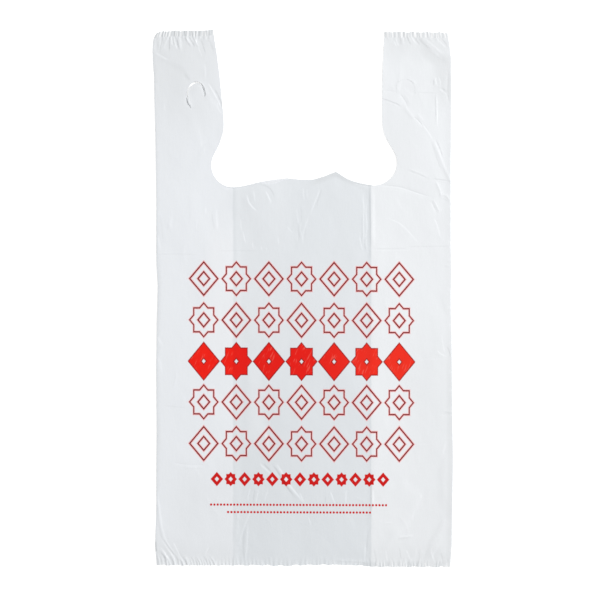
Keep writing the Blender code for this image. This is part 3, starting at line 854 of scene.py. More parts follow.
# Soft waves in the film, in millimetres: in the back panel, and broad and fine ones in the front panel
WAVES = {
    "back": {"height": 0.30, "longest": 120, "shortest": 45, "count": 8},
    "broad": {"height": 0.34, "longest": 95, "shortest": 22, "count": 16},
    "fine": {"height": 0.10, "longest": 20, "shortest": 9, "count": 14},
}


def soft_waves(name, x, y, rng):
    """A sum of long level waves between -1 and 1, most of them with their crests along the bag."""
    waves = WAVES[name]
    total = np.zeros(len(x))
    weight = 0.0
    for _ in range(waves["count"]):
        wavelength = rng.uniform(waves["shortest"] * MM, waves["longest"] * MM)
        angle = rng.normal(0.0, 0.55)
        phase = rng.uniform(0.0, 2.0 * math.pi)
        size = wavelength / (waves["longest"] * MM)
        along = x * math.cos(angle) + y * math.sin(angle)
        total += size * np.sin(2.0 * math.pi * along / wavelength + phase)
        weight += size
    return total / weight


# The height of the front panel over the back panel, by height over the bottom weld, in millimetres
AIR = [(0, 0.0), (14, 0.5), (40, 1.0), (90, 1.8), (200, 2.4), (300, 2.2), (355, 1.6), (378, 1.1), (410, 0.7),
       (450, 0.6), (495, 0.5), (520, 0.3), (533, 0.0)]
BODY_FALL = 0.74  # how much lower the air holds the panel at the sides, and where it is that low
BODY_SIDE = 125 * MM
HANDLE_FROM = 82 * MM  # where a handle begins across the bag, and its width
HANDLE_WIDTH = 60 * MM
HANDLE_LEAST = 0.45  # the height at a handle's two sides, and what its middle has more
HANDLE_MORE = 0.55
HANDLES_BELOW = 165 * MM  # how far below the top the handles begin, and over what length
HANDLES_BLEND = 45 * MM
FOLD_FALL = 0.12  # how much lower it is at the outer folds, and how far in
FOLD_SIDE = 0.9 * MM


def air_height(x, y):
    """How far the air inside holds the two panels apart."""
    profile = curve_through(AIR, 8.0) * MM
    along = np.interp(y - BOTTOM, profile[:, 0], profile[:, 1])
    from_fold = WIDTH / 2 - np.abs(x)
    body = 1.0 - BODY_FALL * eased(np.abs(x) / BODY_SIDE)
    across_handle = np.clip((np.abs(x) - HANDLE_FROM) / HANDLE_WIDTH, 0.0, 1.0)
    handle = HANDLE_LEAST + HANDLE_MORE * np.sin(math.pi * across_handle)
    share = eased((y - (TOP - HANDLES_BELOW)) / HANDLES_BLEND)
    at_fold = 1.0 - FOLD_FALL * np.exp(-from_fold / FOLD_SIDE)
    return along * (body * (1.0 - share) + handle * share) * at_fold


def slit_height(path, slit, x, y):
    """The film beside a slit stands up or sinks: its outside and its inside differ."""
    lift = np.zeros(len(x))
    close = (np.abs(x - path[:, 0].mean()) < SLIT_AREA) & (np.abs(y - path[:, 1].mean()) < SLIT_AREA)
    distance, place, _ = nearest_on(path, x[close], y[close])
    stops = np.linspace(0.0, 1.0, len(slit["outside"]))
    outside = np.interp(place, stops, slit["outside"]) * MM
    inside = np.interp(place, stops, slit["inside"]) * MM
    size = np.where(distance > 0, outside, inside)
    reach = np.where(distance > 0, slit["reach"][0], slit["reach"][1]) * MM
    lift[close] = size * np.exp(-np.abs(distance) / reach)
    return lift


WELD_REACH = 16 * MM  # how far from the ends the welds hold the layers together
LEAST_BACK = 0.06 * MM  # the back panel's least height over the floor
SOFT_FLOOR = 0.08 * MM  # how gently the front panel comes to rest on the layers below it
STEP_IN = 3.0 * MM  # how far inside their fold the gussets' layers begin to lift the front panel
STEP_WIDTH = 2.7 * MM  # and over what width they lift it fully
SIDE_HOLD = 0.85  # how much of the front panel's waves the outer folds take away, and how far in
SIDE_REACH = 5 * MM
LOOSE_GAP = 0.16 * MM  # how much further apart the layers lie where the film is loose
FULLY_LOOSE = 0.8 * MM  # the lift of the front panel at which it is


class Film:
    """The heights of every layer at every place of the flat pattern."""

    def __init__(self):
        rng = np.random.default_rng(SEED)
        self.creases = named_creases() + scattered_creases(rng)
        self.gathers = weld_gathers(rng)
        self.slits = {side: curve_through(pattern_points(slit["path"]), SLIT_STEP)
                      for side, slit in SLITS.items()}

    def shapes(self, x, y):
        """The height of the back panel and of the front panel over the floor, and the room for each layer."""
        rng = np.random.default_rng(SEED + 1)
        loose = eased(np.minimum(y - BOTTOM, TOP - y) / WELD_REACH)
        back = LEAST_BACK + gather_height(self.gathers, x, y)
        back += WAVES["back"]["height"] * MM * eased(0.4 + soft_waves("back", x, y, rng)) * loose
        layers = 1.0 + 2.0 * eased((np.abs(x) - FOLD_X + STEP_IN) / STEP_WIDTH)
        lift = air_height(x, y)
        inward = 1.0 - SIDE_HOLD * np.exp(-(WIDTH / 2 - np.abs(x)) / SIDE_REACH)
        for name in ("broad", "fine"):
            lift += WAVES[name]["height"] * MM * soft_waves(name, x, y, rng) * loose * inward
        for crease in self.creases:
            lift += crease_height(*crease, x, y)
        for side, path in self.slits.items():
            lift += slit_height(path, SLITS[side], x, y)
        lift = 0.5 * (lift + np.sqrt(lift**2 + SOFT_FLOOR**2))
        front = back + layers * PRESSED_PITCH + lift
        gap = PRESSED_PITCH + LOOSE_GAP * loose * eased(lift / FULLY_LOOSE)
        return back, front, gap

    def heights(self, panel, x, y):
        """The height of this panel's film over the floor."""
        back, front, gap = self.shapes(x, y)
        from_outer = WIDTH / 2 - np.abs(x)
        at_outer = 0.5 * gap * (1.0 - eased(from_outer / FOLD_REACH))
        if panel == "front":
            return front - at_outer
        if panel == "back":
            return back + at_outer
        at_inner = 0.5 * gap * (1.0 - eased((np.abs(x) - FOLD_X) / FOLD_REACH))
        middle = 0.5 * (front + back)
        share = np.clip(from_outer / GUSSET, 0.0, 1.0)
        if panel.endswith("upper"):
            level = (front - gap) * (1.0 - share) + (middle + 0.5 * gap) * share
            return level + at_outer - at_inner
        level = (back + gap) * (1.0 - share) + (middle - 0.5 * gap) * share
        return level - at_outer + at_inner


def slit_loop(path, widths):
    """The slit's outline: a narrow opening that closes at both ends."""
    along = np.linspace(0.0, 1.0, len(path))
    ends = np.clip(np.minimum(along, 1.0 - along) / 0.05, 0.0, 1.0)
    half = 0.5 * ends * np.interp(along, np.linspace(0.0, 1.0, len(widths)), widths) * MM
    normals = normals_of(path)
    left = path + normals * half[:, None]
    right = path - normals * half[:, None]
    return np.vstack((left, right[-2:0:-1]))


def beside_path(path, distances):
    """Rows of points at these distances on both sides of a path."""
    normals = normals_of(path)
    return np.vstack([path + normals * (side * distance) for distance in distances for side in (-1.0, 1.0)])


LATTICES = {"front": 3.4, "back": 8.0, "right_upper": 9.0, "right_lower": 9.0, "left_lower": 9.0,
            "left_upper": 9.0}  # the step of each panel's open lattice, in millimetres


def hex_lattice(panel):
    """Evenly spread points over a whole panel."""
    start, width, _, _ = PANELS[panel]
    step = LATTICES[panel] * MM
    rows = np.arange(BOTTOM + 0.5 * step, TOP, step * math.sqrt(0.75))
    parts = []
    for index, y in enumerate(rows):
        s = np.arange(start + (0.5 if index % 2 else 0.0) * step, start + width, step)
        parts.append(level_row(s, y))
    return np.vstack(parts)


def lay_folds(layout, back_mouth):
    """Rows of points on the folds and close beside them."""
    heights = column_heights()
    notch_ends = {inner: gusset_notch(back_mouth, side)[-1, 1]
                  for inner, side in ((RIGHT_INNER, 1), (LEFT_INNER, -1))}
    for s in FOLDS:
        rows = heights[1:-1]
        if s in notch_ends:
            rows = np.append(rows[rows < notch_ends[s] - NOTCH_CLEAR], notch_ends[s])
        layout.add_line(upright_row(s, rows), "fold")
    for s in (0.0, *FOLDS, STRIP_LENGTH):
        for beside in (s - FOLD_REACH, s + FOLD_REACH):
            if 0.0 < beside < STRIP_LENGTH:
                layout.add_loose(upright_row(beside, heights), "beside_fold")
    for s in (RIM, WIDTH - RIM):
        layout.add_loose(upright_row(s, heights), "fold")


def lay_slit(layout, side, path):
    """A slit's outline in each layer of its handle. The film inside these loops is cut out."""
    slit = SLITS[side]
    loops = []
    for layer, slip in SLIPS.items():
        panel = layer if layer in PANELS else f"{side}_{layer}"
        shift = slip * MM * slit["shift"]
        here = path + (shift, 0.6 * shift)
        loop = on_panel(panel, slit_loop(here, slit["width" if layer == "front" else "width_below"]))
        layout.add_line(loop, "slit", closed=True)
        loops.append(loop)
        if layer == "front":
            layout.add_loose(on_panel(panel, beside_path(here, BESIDE_SLIT)), "beside_slit")
    return loops


def lay_welds(layout):
    """Rows of points along both welds, wider apart away from the ends."""
    for distance in WELD_ROWS[1:]:
        s = weld_places()[:: 1 if distance < FINE_WELD else 3][1:]
        layout.add_loose(level_row(s, BOTTOM + distance), "weld")
        s = s[np.abs(across_strip(s)) > IN_MOUTH]
        layout.add_loose(level_row(s, TOP - distance), "weld")


def lay_out(film):
    """The triangulation's points and fixed edges on the strip, and the loops that are cut out of it."""
    back_mouth = mouth_curves(BACK_MOUTH_STEP)
    front_mouth = slipped(mouth_curves(FRONT_MOUTH_STEP))
    layout = Layout()
    outline, loops = strip_outline(front_mouth, back_mouth)
    layout.add_line(outline, "outline", closed=True)
    lay_folds(layout, back_mouth)
    for side, path in film.slits.items():
        loops += lay_slit(layout, side, path)
    lay_welds(layout)
    layout.add_loose(on_panel("front", crease_rows(film.creases)), "crease")
    for panel in LATTICES:
        layout.add_loose(hex_lattice(panel), "lattice")
    return layout, loops


def panel_at(s):
    """The number of the panel at each place along the strip."""
    return np.clip(np.searchsorted(STARTS, s, side="right") - 1, 0, len(STARTS) - 1)


def across_strip(s):
    """x across the bag for each place along the strip, whatever its panel."""
    numbers = panel_at(s)
    x = np.zeros(len(s))
    for number, name in enumerate(PANELS):
        here = numbers == number
        x[here] = across_bag(name, s[here])
    return x


def inside_loop(loop, points):
    """Which points lie inside this closed loop."""
    x, y = points[:, 0][:, None], points[:, 1][:, None]
    ax, ay = loop[:, 0], loop[:, 1]
    bx, by = np.roll(ax, -1), np.roll(ay, -1)
    crosses = (ay > y) != (by > y)
    with np.errstate(divide="ignore", invalid="ignore"):
        at = ax + (y - ay) * (bx - ax) / (by - ay)
    return (crosses & (x < at)).sum(axis=1) % 2 == 1


def triangulate(layout, loops):
    """The strip's vertices and triangles."""
    vectors = [Vector(point) for point in layout.points]
    points, _, faces, _, _, _ = geometry.delaunay_2d_cdt(vectors, layout.edges, [], 1, 1e-7, True)
    points = np.array([tuple(point) for point in points])
    faces = np.array(faces)
    centres = points[faces].mean(axis=1)
    keep = np.ones(len(faces), bool)
    for loop in loops:
        low, high = loop.min(axis=0), loop.max(axis=0)
        near = np.flatnonzero(((centres > low) & (centres < high)).all(axis=1))
        keep[near[inside_loop(loop, centres[near])]] = False
    return points, faces[keep]


RUFFLE = {"size": 0.16 * MM, "reach": 6 * MM, "waves": 9, "lengths": (3.5, 16.0)}


def ruffle(x, y):
    """The cut ends waver a little along the bag."""
    rng = np.random.default_rng(SEED + 2)
    near = np.exp(-np.minimum(y - BOTTOM, TOP - y) / RUFFLE["reach"])
    wave = np.zeros(len(x))
    for _ in range(RUFFLE["waves"]):
        wavelength = rng.uniform(*RUFFLE["lengths"]) * MM
        wave += rng.uniform(0.4, 1.0) * np.sin(2 * math.pi * x / wavelength + rng.uniform(0, 2 * math.pi))
    return RUFFLE["size"] * wave * near


def fold_up(film, points):
    """Where each vertex of the strip lies on the floor, and its height."""
    s, y = points[:, 0], points[:, 1]
    x = across_strip(s)
    numbers = panel_at(s)
    z = np.zeros(len(s))
    for number, name in enumerate(PANELS):
        here = numbers == number
        z[here] = film.heights(name, x[here], y[here])
    settled_x, settled_y = settle(x, y)
    return np.column_stack((settled_x, settled_y + ruffle(x, y), z))


def join_ends(points, faces):
    """The faces with the strip's two ends joined, which makes it a tube."""
    order = np.argsort(points[:, 1], kind="stable")
    start = [i for i in order if points[i, 0] < SAME_PLACE]
    end = [i for i in order if points[i, 0] > STRIP_LENGTH - SAME_PLACE]
    joined = np.arange(len(points))
    joined[end] = start
    return joined[faces]


def add_uv(mesh, name, places):
    """A UV map that gives each vertex its place in a plane, in metres."""
    vertices = np.zeros(len(mesh.loops), int)
    mesh.loops.foreach_get("vertex_index", vertices)
    mesh.uv_layers.new(name=name).data.foreach_set("uv", places[vertices].ravel())


SHARP_ANGLE = 55  # the film is smooth over bends that are less sharp than this


def thicken(sheet):
    """Give the sheet the film's wall, with plain film on its inside and at its cuts."""
    wall = sheet.modifiers.new("wall", "SOLIDIFY")
    wall.thickness = FILM_WALL
    wall.offset = 0.0
    wall.material_offset = 1
    wall.material_offset_rim = 1
    depsgraph = bpy.context.evaluated_depsgraph_get()
    thick = bpy.data.meshes.new_from_object(sheet.evaluated_get(depsgraph))
    sheet.modifiers.clear()
    sheet.data = thick
    thick.name = "carrier_bag"
    thick.set_sharp_from_angle(angle=math.radians(SHARP_ANGLE))


def make_film():
    """The whole bag as one mesh of one thin sheet."""
    film = Film()
    points, faces = triangulate(*lay_out(film))
    panels = panel_at(points[faces].mean(axis=1)[:, 0])
    places = fold_up(film, points)
    flat = np.column_stack((across_strip(points[:, 0]), points[:, 1]))
    used, faces = np.unique(join_ends(points, faces), return_inverse=True)
    faces = faces.reshape(-1, 3)

    mesh = bpy.data.meshes.new("film")
    mesh.from_pydata(places[used].tolist(), [], faces.tolist())
    add_uv(mesh, "film", places[used, :2])
    add_uv(mesh, "pattern", flat[used])
    mesh.polygons.foreach_set("material_index", (panels > 0).astype(int))
    mesh.polygons.foreach_set("use_smooth", np.ones(len(faces), bool))
    mesh.materials.append(film_finish("printed_film", True))
    mesh.materials.append(film_finish("plain_film", False))
    sheet = bpy.data.objects.new("carrier_bag", mesh)
    bpy.context.scene.collection.objects.link(sheet)
    thicken(sheet)
    return sheet


# Colours are written as the screen shows them, from 0 to 255.
def shown(red, green, blue):
    """The colour for a shader socket."""
    values = np.array((red, green, blue)) / 255.0
    linear = np.where(values <= 0.04045, values / 12.92, ((values + 0.055) / 1.055) ** 2.4)
    return (*linear.tolist(), 1.0)


class Term:
    """A node's output that can be used in plain arithmetic."""

    def __init__(self, tree, socket):
        self.tree = tree
        self.socket = socket

    def step(self, operation, *others):
        node = self.tree.nodes.new("ShaderNodeMath")
        node.operation = operation
        for index, item in enumerate((self, *others)):
            if isinstance(item, Term):
                self.tree.links.new(item.socket, node.inputs[index])
            else:
                node.inputs[index].default_value = float(item)
        return Term(self.tree, node.outputs[0])

    def __add__(self, other):
        return self.step("ADD", other)

    def __sub__(self, other):
        return self.step("SUBTRACT", other)

    def __mul__(self, other):
        return self.step("MULTIPLY", other)

    def __truediv__(self, other):
        return self.step("DIVIDE", other)

    def __neg__(self):
        return self.step("MULTIPLY", -1.0)

    def size(self):
        return self.step("ABSOLUTE")

    def floor(self):
        return self.step("FLOOR")

    def fraction(self):
        return self.step("FRACT")

    def root(self):
        return self.step("SQRT")

    def sine(self):
        return self.step("SINE")

    def low(self, other):
        return self.step("MINIMUM", other)

    def high(self, other):
        return self.step("MAXIMUM", other)

    def held(self):
        """Kept between 0 and 1."""
        return self.high(0.0).low(1.0)

    def up(self, start, end):
        """0 at start and before, 1 at end and after, eased between."""
        node = self.tree.nodes.new("ShaderNodeMapRange")
        node.interpolation_type = "SMOOTHSTEP"
        self.tree.links.new(self.socket, node.inputs["Value"])
        node.inputs["From Min"].default_value = start
        node.inputs["From Max"].default_value = end
        return Term(self.tree, node.outputs["Result"])


# The noises of the finish: how much the place is stretched across and along the bag, and the noise's cells
NOISES = {
    "wander": {"stretch": (0.001, 1.0), "scale": 0.09, "detail": 2.0, "roughness": 0.5, "seed": 3.0},
    "mottle": {"stretch": (1.0, 1.0), "scale": 0.035, "detail": 3.0, "roughness": 0.55, "seed": 11.0},
    "streaks": {"stretch": (1.0, 0.06), "scale": 0.22, "detail": 2.0, "roughness": 0.6, "seed": 17.0},
    "comb": {"stretch": (1.0, 0.05), "scale": 0.17, "detail": 1.0, "roughness": 0.4, "seed": 41.0},
    "seal": {"stretch": (1.0, 0.1), "scale": 0.66, "detail": 1.0, "roughness": 0.5, "seed": 43.0},
    "ink": {"stretch": (1.0, 1.0), "scale": 0.16, "detail": 4.0, "roughness": 0.65, "seed": 23.0},
    "worn_lines": {"stretch": (1.0, 0.16), "scale": 0.55, "detail": 2.0, "roughness": 0.5, "seed": 29.0},
    "worn_places": {"stretch": (1.0, 1.0), "scale": 0.06, "detail": 1.0, "roughness": 0.5, "seed": 53.0},
    "crinkle": {"stretch": (1.0, 0.45), "scale": 0.30, "detail": 5.0, "roughness": 0.62, "seed": 31.0},
    "grain": {"stretch": (1.0, 1.0), "scale": 1.4, "detail": 3.0, "roughness": 0.6, "seed": 37.0},
}


def noise(across, along, name):
    """A named noise, around 0.5, at a place of the plane."""
    tree = across.tree
    cells = NOISES[name]
    place = tree.nodes.new("ShaderNodeCombineXYZ")
    for index, term in enumerate((across, along)):
        tree.links.new((term * cells["stretch"][index]).socket, place.inputs[index])
    place.inputs[2].default_value = cells["seed"]
    node = tree.nodes.new("ShaderNodeTexNoise")
    tree.links.new(place.outputs[0], node.inputs["Vector"])
    for key in ("scale", "detail", "roughness"):
        node.inputs[key.title()].default_value = cells[key]
    return Term(tree, node.outputs["Fac"])


def mixed(share, first, second):
    """One colour with a share of another. Each is a colour, as the screen shows it, or a socket."""
    tree = share.tree
    node = tree.nodes.new("ShaderNodeMix")
    node.data_type = "RGBA"
    tree.links.new(share.socket, node.inputs["Factor"])
    for name, item in (("A", first), ("B", second)):
        socket = next(s for s in node.inputs if s.name == name and s.type == "RGBA")
        if isinstance(item, tuple):
            socket.default_value = shown(*item)
        else:
            tree.links.new(item, socket)
    return next(s for s in node.outputs if s.type == "RGBA")


# The print: five wide rows of shapes, the middle one solid, and a small solid row under them. Every second
# cell of a row has a star and the others a lozenge. Places are the photograph's.
WIDE_ROW = {"from": 187.5, "to": 415.5, "cells": 7, "opening": 0.34}
OUTLINED_ROWS = [
    {**WIDE_ROW, "top": 261.5, "low": 296.5, "first": 0.0},
    {**WIDE_ROW, "top": 302.5, "low": 338.0, "first": 1.0},
    {**WIDE_ROW, "top": 384.5, "low": 420.0, "first": 1.0},
    {**WIDE_ROW, "top": 426.0, "low": 461.5, "first": 0.0},
]
SOLID_ROW = {**WIDE_ROW, "top": 343.5, "low": 379.5, "first": 0.0, "opening": 0.22}
SMALL_ROW = {"from": 210.0, "to": 390.0, "cells": 13, "opening": 0.34,
             "top": 472.0, "low": 486.5, "first": 0.0}
CELL_FILL = 0.455  # the half width of a shape as a share of its cell
LINE = 1.2  # the outlines' width
SOFT = 0.35  # how far the edge of the ink is blurred
BLEED = 0.7  # how strong the ink beside a line is
SWELL = 1.0  # how far the solid row's ink has spread
DOT_ROWS = [(504.8, 209.5, 387.0), (512.2, 226.5, 371.0)]  # the row, and from where to where
DOT_PITCH = 3.3
DOT_RADIUS = 1.14
PRINT_SLOPE = 0.004  # how much the print sinks to the right


def lozenge(across, along, half_width, half_height):
    """The distance to a lozenge's edge, below 0 inside."""
    slope = half_height / half_width
    return (across.size() * slope + along.size() - half_height) / math.sqrt(1.0 + slope * slope)


def star(across, along, reach):
    """The distance to the outline of two crossed squares with eight points, below 0 inside."""
    across, along = across.size(), along.size()
    level = across.high(along) - reach * math.sqrt(0.5)
    turned = (across + along - reach) * math.sqrt(0.5)
    return level.low(turned)


def shapes_between(column, row, shapes):
    """The distance to the nearest shape's edge in a row of shapes with open middles, below 0 inside."""
    pitch = (shapes["to"] - shapes["from"]) / shapes["cells"]
    half_width = CELL_FILL * pitch
    half_height = 0.5 * (shapes["low"] - shapes["top"])
    share = (column - shapes["from"]) / pitch
    across = (share.fraction() - 0.5) * pitch
    along = row - 0.5 * (shapes["top"] + shapes["low"])
    odd = ((share.floor() + shapes["first"]) * 0.5).fraction() * 2.0
    opening = lozenge(across, along, shapes["opening"] * half_width, shapes["opening"] * half_height)
    plain = lozenge(across, along, half_width, half_height)
    pointed = star(across * (half_height / half_width), along, half_height)
    distance = (plain * (odd * -1.0 + 1.0) + pointed * odd).high(-opening)
    beside = (column - shapes["from"]).low(column * -1.0 + shapes["to"]) * -1.0
    beyond = (row - shapes["top"] + 1.0).low(row * -1.0 + shapes["low"] + 1.0) * -1.0
    return distance.high(beside).high(beyond)


def dots(column, row, height, start, end):
    """How much of the place is covered by a row of fine dots."""
    across = ((column - start) / DOT_PITCH).fraction() * DOT_PITCH - 0.5 * DOT_PITCH
    along = row - height
    spot = ((across * across + along * along).root() - DOT_RADIUS).up(SOFT, -SOFT)
    return spot * (column - start).up(-0.1, 0.1) * (column - end).up(0.1, -0.1)


def outline_ink(column, row):
    """How much of the film the outlines cover, and how much the ink that has crept out beside them."""
    lines = []
    crept = []
    for shapes in OUTLINED_ROWS:
        from_line = (shapes_between(column, row, shapes) + 0.5 * LINE).size()
        lines.append(from_line.up(0.5 * LINE + 0.22, 0.5 * LINE - 0.22))
        crept.append(from_line.up(0.5 * LINE + 1.2, 0.5 * LINE + 0.1))
    return reduce(Term.high, lines), reduce(Term.high, crept) * BLEED


def solid_ink(column, row):
    """How much of the film the solid row covers, and how much its darker rim."""
    distance = shapes_between(column, row, SOLID_ROW) - SWELL
    from_start = column - SOLID_ROW["from"]
    from_end = column - SOLID_ROW["to"]
    inside = distance.up(SOFT, -SOFT) * from_start.up(-0.1, 0.4) * from_end.up(0.1, -0.4)
    rim = (distance + 0.45).size().up(0.9, 0.3) * 0.62
    return inside, rim * from_start.up(0.3, 0.9) * from_end.up(-0.3, -0.9)


def small_ink(column, row):
    """How much of the film the small row and the two rows of dots cover."""
    small = shapes_between(column, row, SMALL_ROW).up(SOFT, -SOFT)
    return reduce(Term.high, [dots(column, row, *line) for line in DOT_ROWS], small)


def solid_red(column, row, layers):
    """The solid row's ink: uneven, darker over two layers, paler to the right and rubbed along creases."""
    red = mixed(noise(column, row, "ink").up(0.3, 0.75), INK_SOLID, INK_STREAK)
    red = mixed((layers * -1.0 + 1.0) * 0.8, red, INK_DEEP)
    red = mixed(column.up(290.0, 400.0) * 0.6, red, INK_FADED)
    worn = noise(column + row * 0.4, row, "worn_lines").up(0.56, 0.66)
    worn = worn * noise(column, row, "worn_places").up(0.46, 0.58)
    return mixed(worn * 0.45, red, INK_WORN)


def printed(rulers, layers, tone):
    """The film's colour with the red print on it."""
    column, row = rulers["column"], rulers["row"]
    print_row = row - (column - FRAME_MIDDLE) * PRINT_SLOPE
    lines, crept = outline_ink(column, print_row)
    solids, rim = solid_ink(column, print_row)
    tone = mixed(crept, tone, INK_THIN)
    tone = mixed(solids, tone, solid_red(column, row, layers))
    tone = mixed(small_ink(column, print_row), tone, INK_SMALL)
    return mixed(lines.high(rim), tone, INK_LINE)


LEFT_TONE = (239.2, 242.2, 246)  # four layers of film
RIGHT_TONE = (239.6, 242, 244.6)
MIDDLE_TONE = (226.5, 230.6, 234.2)  # two layers
INSIDE_TONE = (238, 240.6, 244)  # the back panel by itself
# painted shade: darker where folds, pleats and rims turn away from the lamp and where the film lies further
# from it
PAINTED_SHADE_TONE = (226, 228.5, 230.5)
# painted light: soft lighter patches on the film
PAINTED_LIGHT_TONE = (244, 246, 249)
# painted shade of the mouth's curled peak
CURL_SHADE_TONE = (215, 218, 220)
# besides film pressed in a weld, this is also the painted shade of the lower left corner's fold
PRESSED_FILM_AND_SHADE_TONE = (202, 206, 208)  # film pressed clear in a weld
LOOSE_TONE = (246, 247, 248)
TOOTH_LEFT = 3.9  # the pitch of the comb in the top welds, in millimetres
TOOTH_RIGHT = 3.2
INK_SOLID = (247, 24, 0)
INK_STREAK = (238, 18, 0)
INK_DEEP = (228, 13, 0)  # over two layers of film
INK_FADED = (240, 52, 30)  # towards the right
INK_SMALL = (206, 10, 6)
INK_LINE = (114, 0, 3)
INK_WORN = (246, 112, 98)  # where the ink has rubbed thin along a crease
INK_THIN = (250, 116, 110)  # where the ink has crept into the film beside a line


# Painted light and shade: where the film is painted darker or lighter than the rest to stand in for how the
# lamp falls on it, in the order in which it is laid on. Each patch has its strength and its ramps: a ruler,
# where the ramp is 0, where it is 1 and, where it doesn't fall to 0, its least share.
PAINTED_LIGHT_AND_SHADE = [
    # painted shade over the left handle, the lower corners, the right edge, its rim and the pleats at the
    # right handle's top
    (PAINTED_SHADE_TONE, {
        "left_handle": (0.60, [("column", 264, 204), ("row", 190, 45)]),
        "low_corners": (0.44, [("above_bottom", 50, 3), ("from_middle", 60, 75)]),
        "right_side": (0.20, [("column", 385, 425), ("row", 300, 370)]),
        "low_left_rim": (1.0, [("across", -144.6, -145.6), ("row", 540, 542), ("row", 553, 551)]),
        "right_rim": (0.75, [("across", 136, 145), ("row", 320, 380, 0.4)]),
        "right_edge": (0.70, [("column", 424, 446), ("row", 46, 60), ("row", 120, 84)]),
        "right_top": (0.50, [("below_top", 38, 8), ("column", 378, 396)]),
        "low_left": (0.22, [("column", 160, 186), ("column", 236, 230), ("above_bottom", 115, 75)]),
        "right_pleat": (0.62, [("under_pleat", -0.6, 1), ("under_pleat", 18, 8), ("column", 411, 425)]),
    }),
    # painted light over the middle and beside the left inner fold
    (PAINTED_LIGHT_TONE, {
        "middle": (0.30, [("column", 232, 240), ("column", 300, 276, 0.14 / 0.30), ("row", 450, 270),
                          ("column", 371, 364)]),
        "left_of_fold": (0.75, [("column", 202, 216), ("column", 236, 231), ("row", 205, 250),
                                ("row", 385, 340)]),
        "right_of_fold": (0.42, [("column", 243, 255), ("column", 273, 257), ("row", 334, 366),
                                 ("row", 456, 424)]),
    }),
    # painted shade: the lower left corner's fold stands out a little and turns away from the light
    (PRESSED_FILM_AND_SHADE_TONE, {
        "low_left_knob": (0.80, [("across", -144.6, -145.5), ("row", 541, 543), ("row", 552, 550)]),
    }),
    # painted shade: the peak of the mouth's edge curls away from the light
    (CURL_SHADE_TONE, {
        "peak": (0.45, [("under_mouth", 7.5, 2.5), ("column", 306, 320), ("column", 374, 350)]),
    }),
]
PLEAT = {"column": 413.0, "row": 36.5, "slope": 0.79}  # the long pleat at the right handle's top
PEAK_SLOPES = (0.37, 0.5)  # how steeply the mouth's edge falls to the left and to the right of its peak


def uv_place(tree, name):
    """The two measures of a UV map."""
    place = tree.nodes.new("ShaderNodeUVMap")
    place.uv_map = name
    split = tree.nodes.new("ShaderNodeSeparateXYZ")
    tree.links.new(place.outputs["UV"], split.inputs[0])
    return Term(tree, split.outputs[0]), Term(tree, split.outputs[1])


def make_rulers(tree):
    """The measures of a place: in the photograph's pixels, and on the flat pattern in millimetres."""
    seen_across, seen_along = uv_place(tree, "film")
    flat_across, flat_along = uv_place(tree, "pattern")
    column = seen_across / PIXEL + PHOTO_MIDDLE[0]
    row = seen_along / -PIXEL + PHOTO_MIDDLE[1]
    across = flat_across / MM
    from_peak = column - PEAK[0]
    mouth = (from_peak * -PEAK_SLOPES[0]).high(from_peak * PEAK_SLOPES[1]) + PEAK[1]
    return {
        "column": column,
        "row": row,
        "under_pleat": row - (column - PLEAT["column"]) * PLEAT["slope"] - PLEAT["row"],
        "under_mouth": row - mouth,
        "across": across,
        "from_middle": across.size(),
        "below_top": flat_along / -MM + TOP / MM,
        "above_bottom": flat_along / MM - BOTTOM / MM,
    }


def patch_share(rulers, patches):
    """How far each place has the painted light or painted shade of the patches: as much as the strongest
    patch there gives it.
    """
    shares = []
    for strength, ramps in patches.values():
        share = strength
        for ruler, start, end, *least in ramps:
            ramp = rulers[ruler].up(start, end)
            if least:
                ramp = ramp * (1.0 - least[0]) + least[0]
            share = ramp * share
        shares.append(share)
    return reduce(Term.high, shares)


def layer_share(rulers):
    """0 over two layers of film and 1 over four, with the film's own unevenness."""
    column, row = rulers["column"], rulers["row"]
    wander = noise(column, row, "wander") - 0.5
    left = (column - LEFT_INNER_FOLD - wander * 3.0).up(1.0, -1.0)
    right = (column - RIGHT_INNER_FOLD - wander * 1.5).up(-0.5, 0.5)
    mottle = noise(column, row, "mottle") - 0.5
    streaks = noise(column, row, "streaks") - 0.5
    return (left + right + mottle * 0.30 + streaks * 0.22).held()


def combed(rulers, tone):
    """The comb of pressed and loose film in the welds at the handles' tops, weaker on the right."""
    on_right = rulers["column"].up(300.0, 301.0)
    drift = noise(rulers["across"], rulers["row"], "comb") * 15.0
    turns = rulers["across"] * (on_right * (1.0 / TOOTH_RIGHT - 1.0 / TOOTH_LEFT) + 1.0 / TOOTH_LEFT)
    comb = (turns * (2.0 * math.pi) + drift).sine()
    weld = rulers["below_top"].up(6.2, 5.0)
    weaker = on_right * -0.35 + 1.0
    tone = mixed(weld * weaker * comb.up(0.7, -0.4) * 0.52, tone, PRESSED_FILM_AND_SHADE_TONE)
    return mixed(weld * comb.up(0.2, 0.8) * 0.95, tone, LOOSE_TONE)


def sealed(rulers, tone):
    """The fine pinches of the bottom weld, stronger on the right."""
    weld = rulers["above_bottom"].up(7.0, 2.5) * (rulers["column"].up(352.0, 364.0) * 0.75 + 0.2)
    fine = noise(rulers["across"], rulers["row"], "seal")
    tone = mixed(weld * fine.up(0.56, 0.44) * 0.36, tone, PRESSED_FILM_AND_SHADE_TONE)
    return mixed(weld * fine.up(0.52, 0.62) * 0.7, tone, LOOSE_TONE)


def film_tone(rulers, layers, thin_tone):
    """The film's colour by its layers, with its patches of painted light and shade and its welds."""
    thick_tone = mixed(rulers["column"].up(280.0, 330.0), LEFT_TONE, RIGHT_TONE)
    tone = mixed(layers, thin_tone, thick_tone)
    for patch_tone, patches in PAINTED_LIGHT_AND_SHADE:
        tone = mixed(patch_share(rulers, patches), tone, patch_tone)
    return sealed(rulers, combed(rulers, tone))


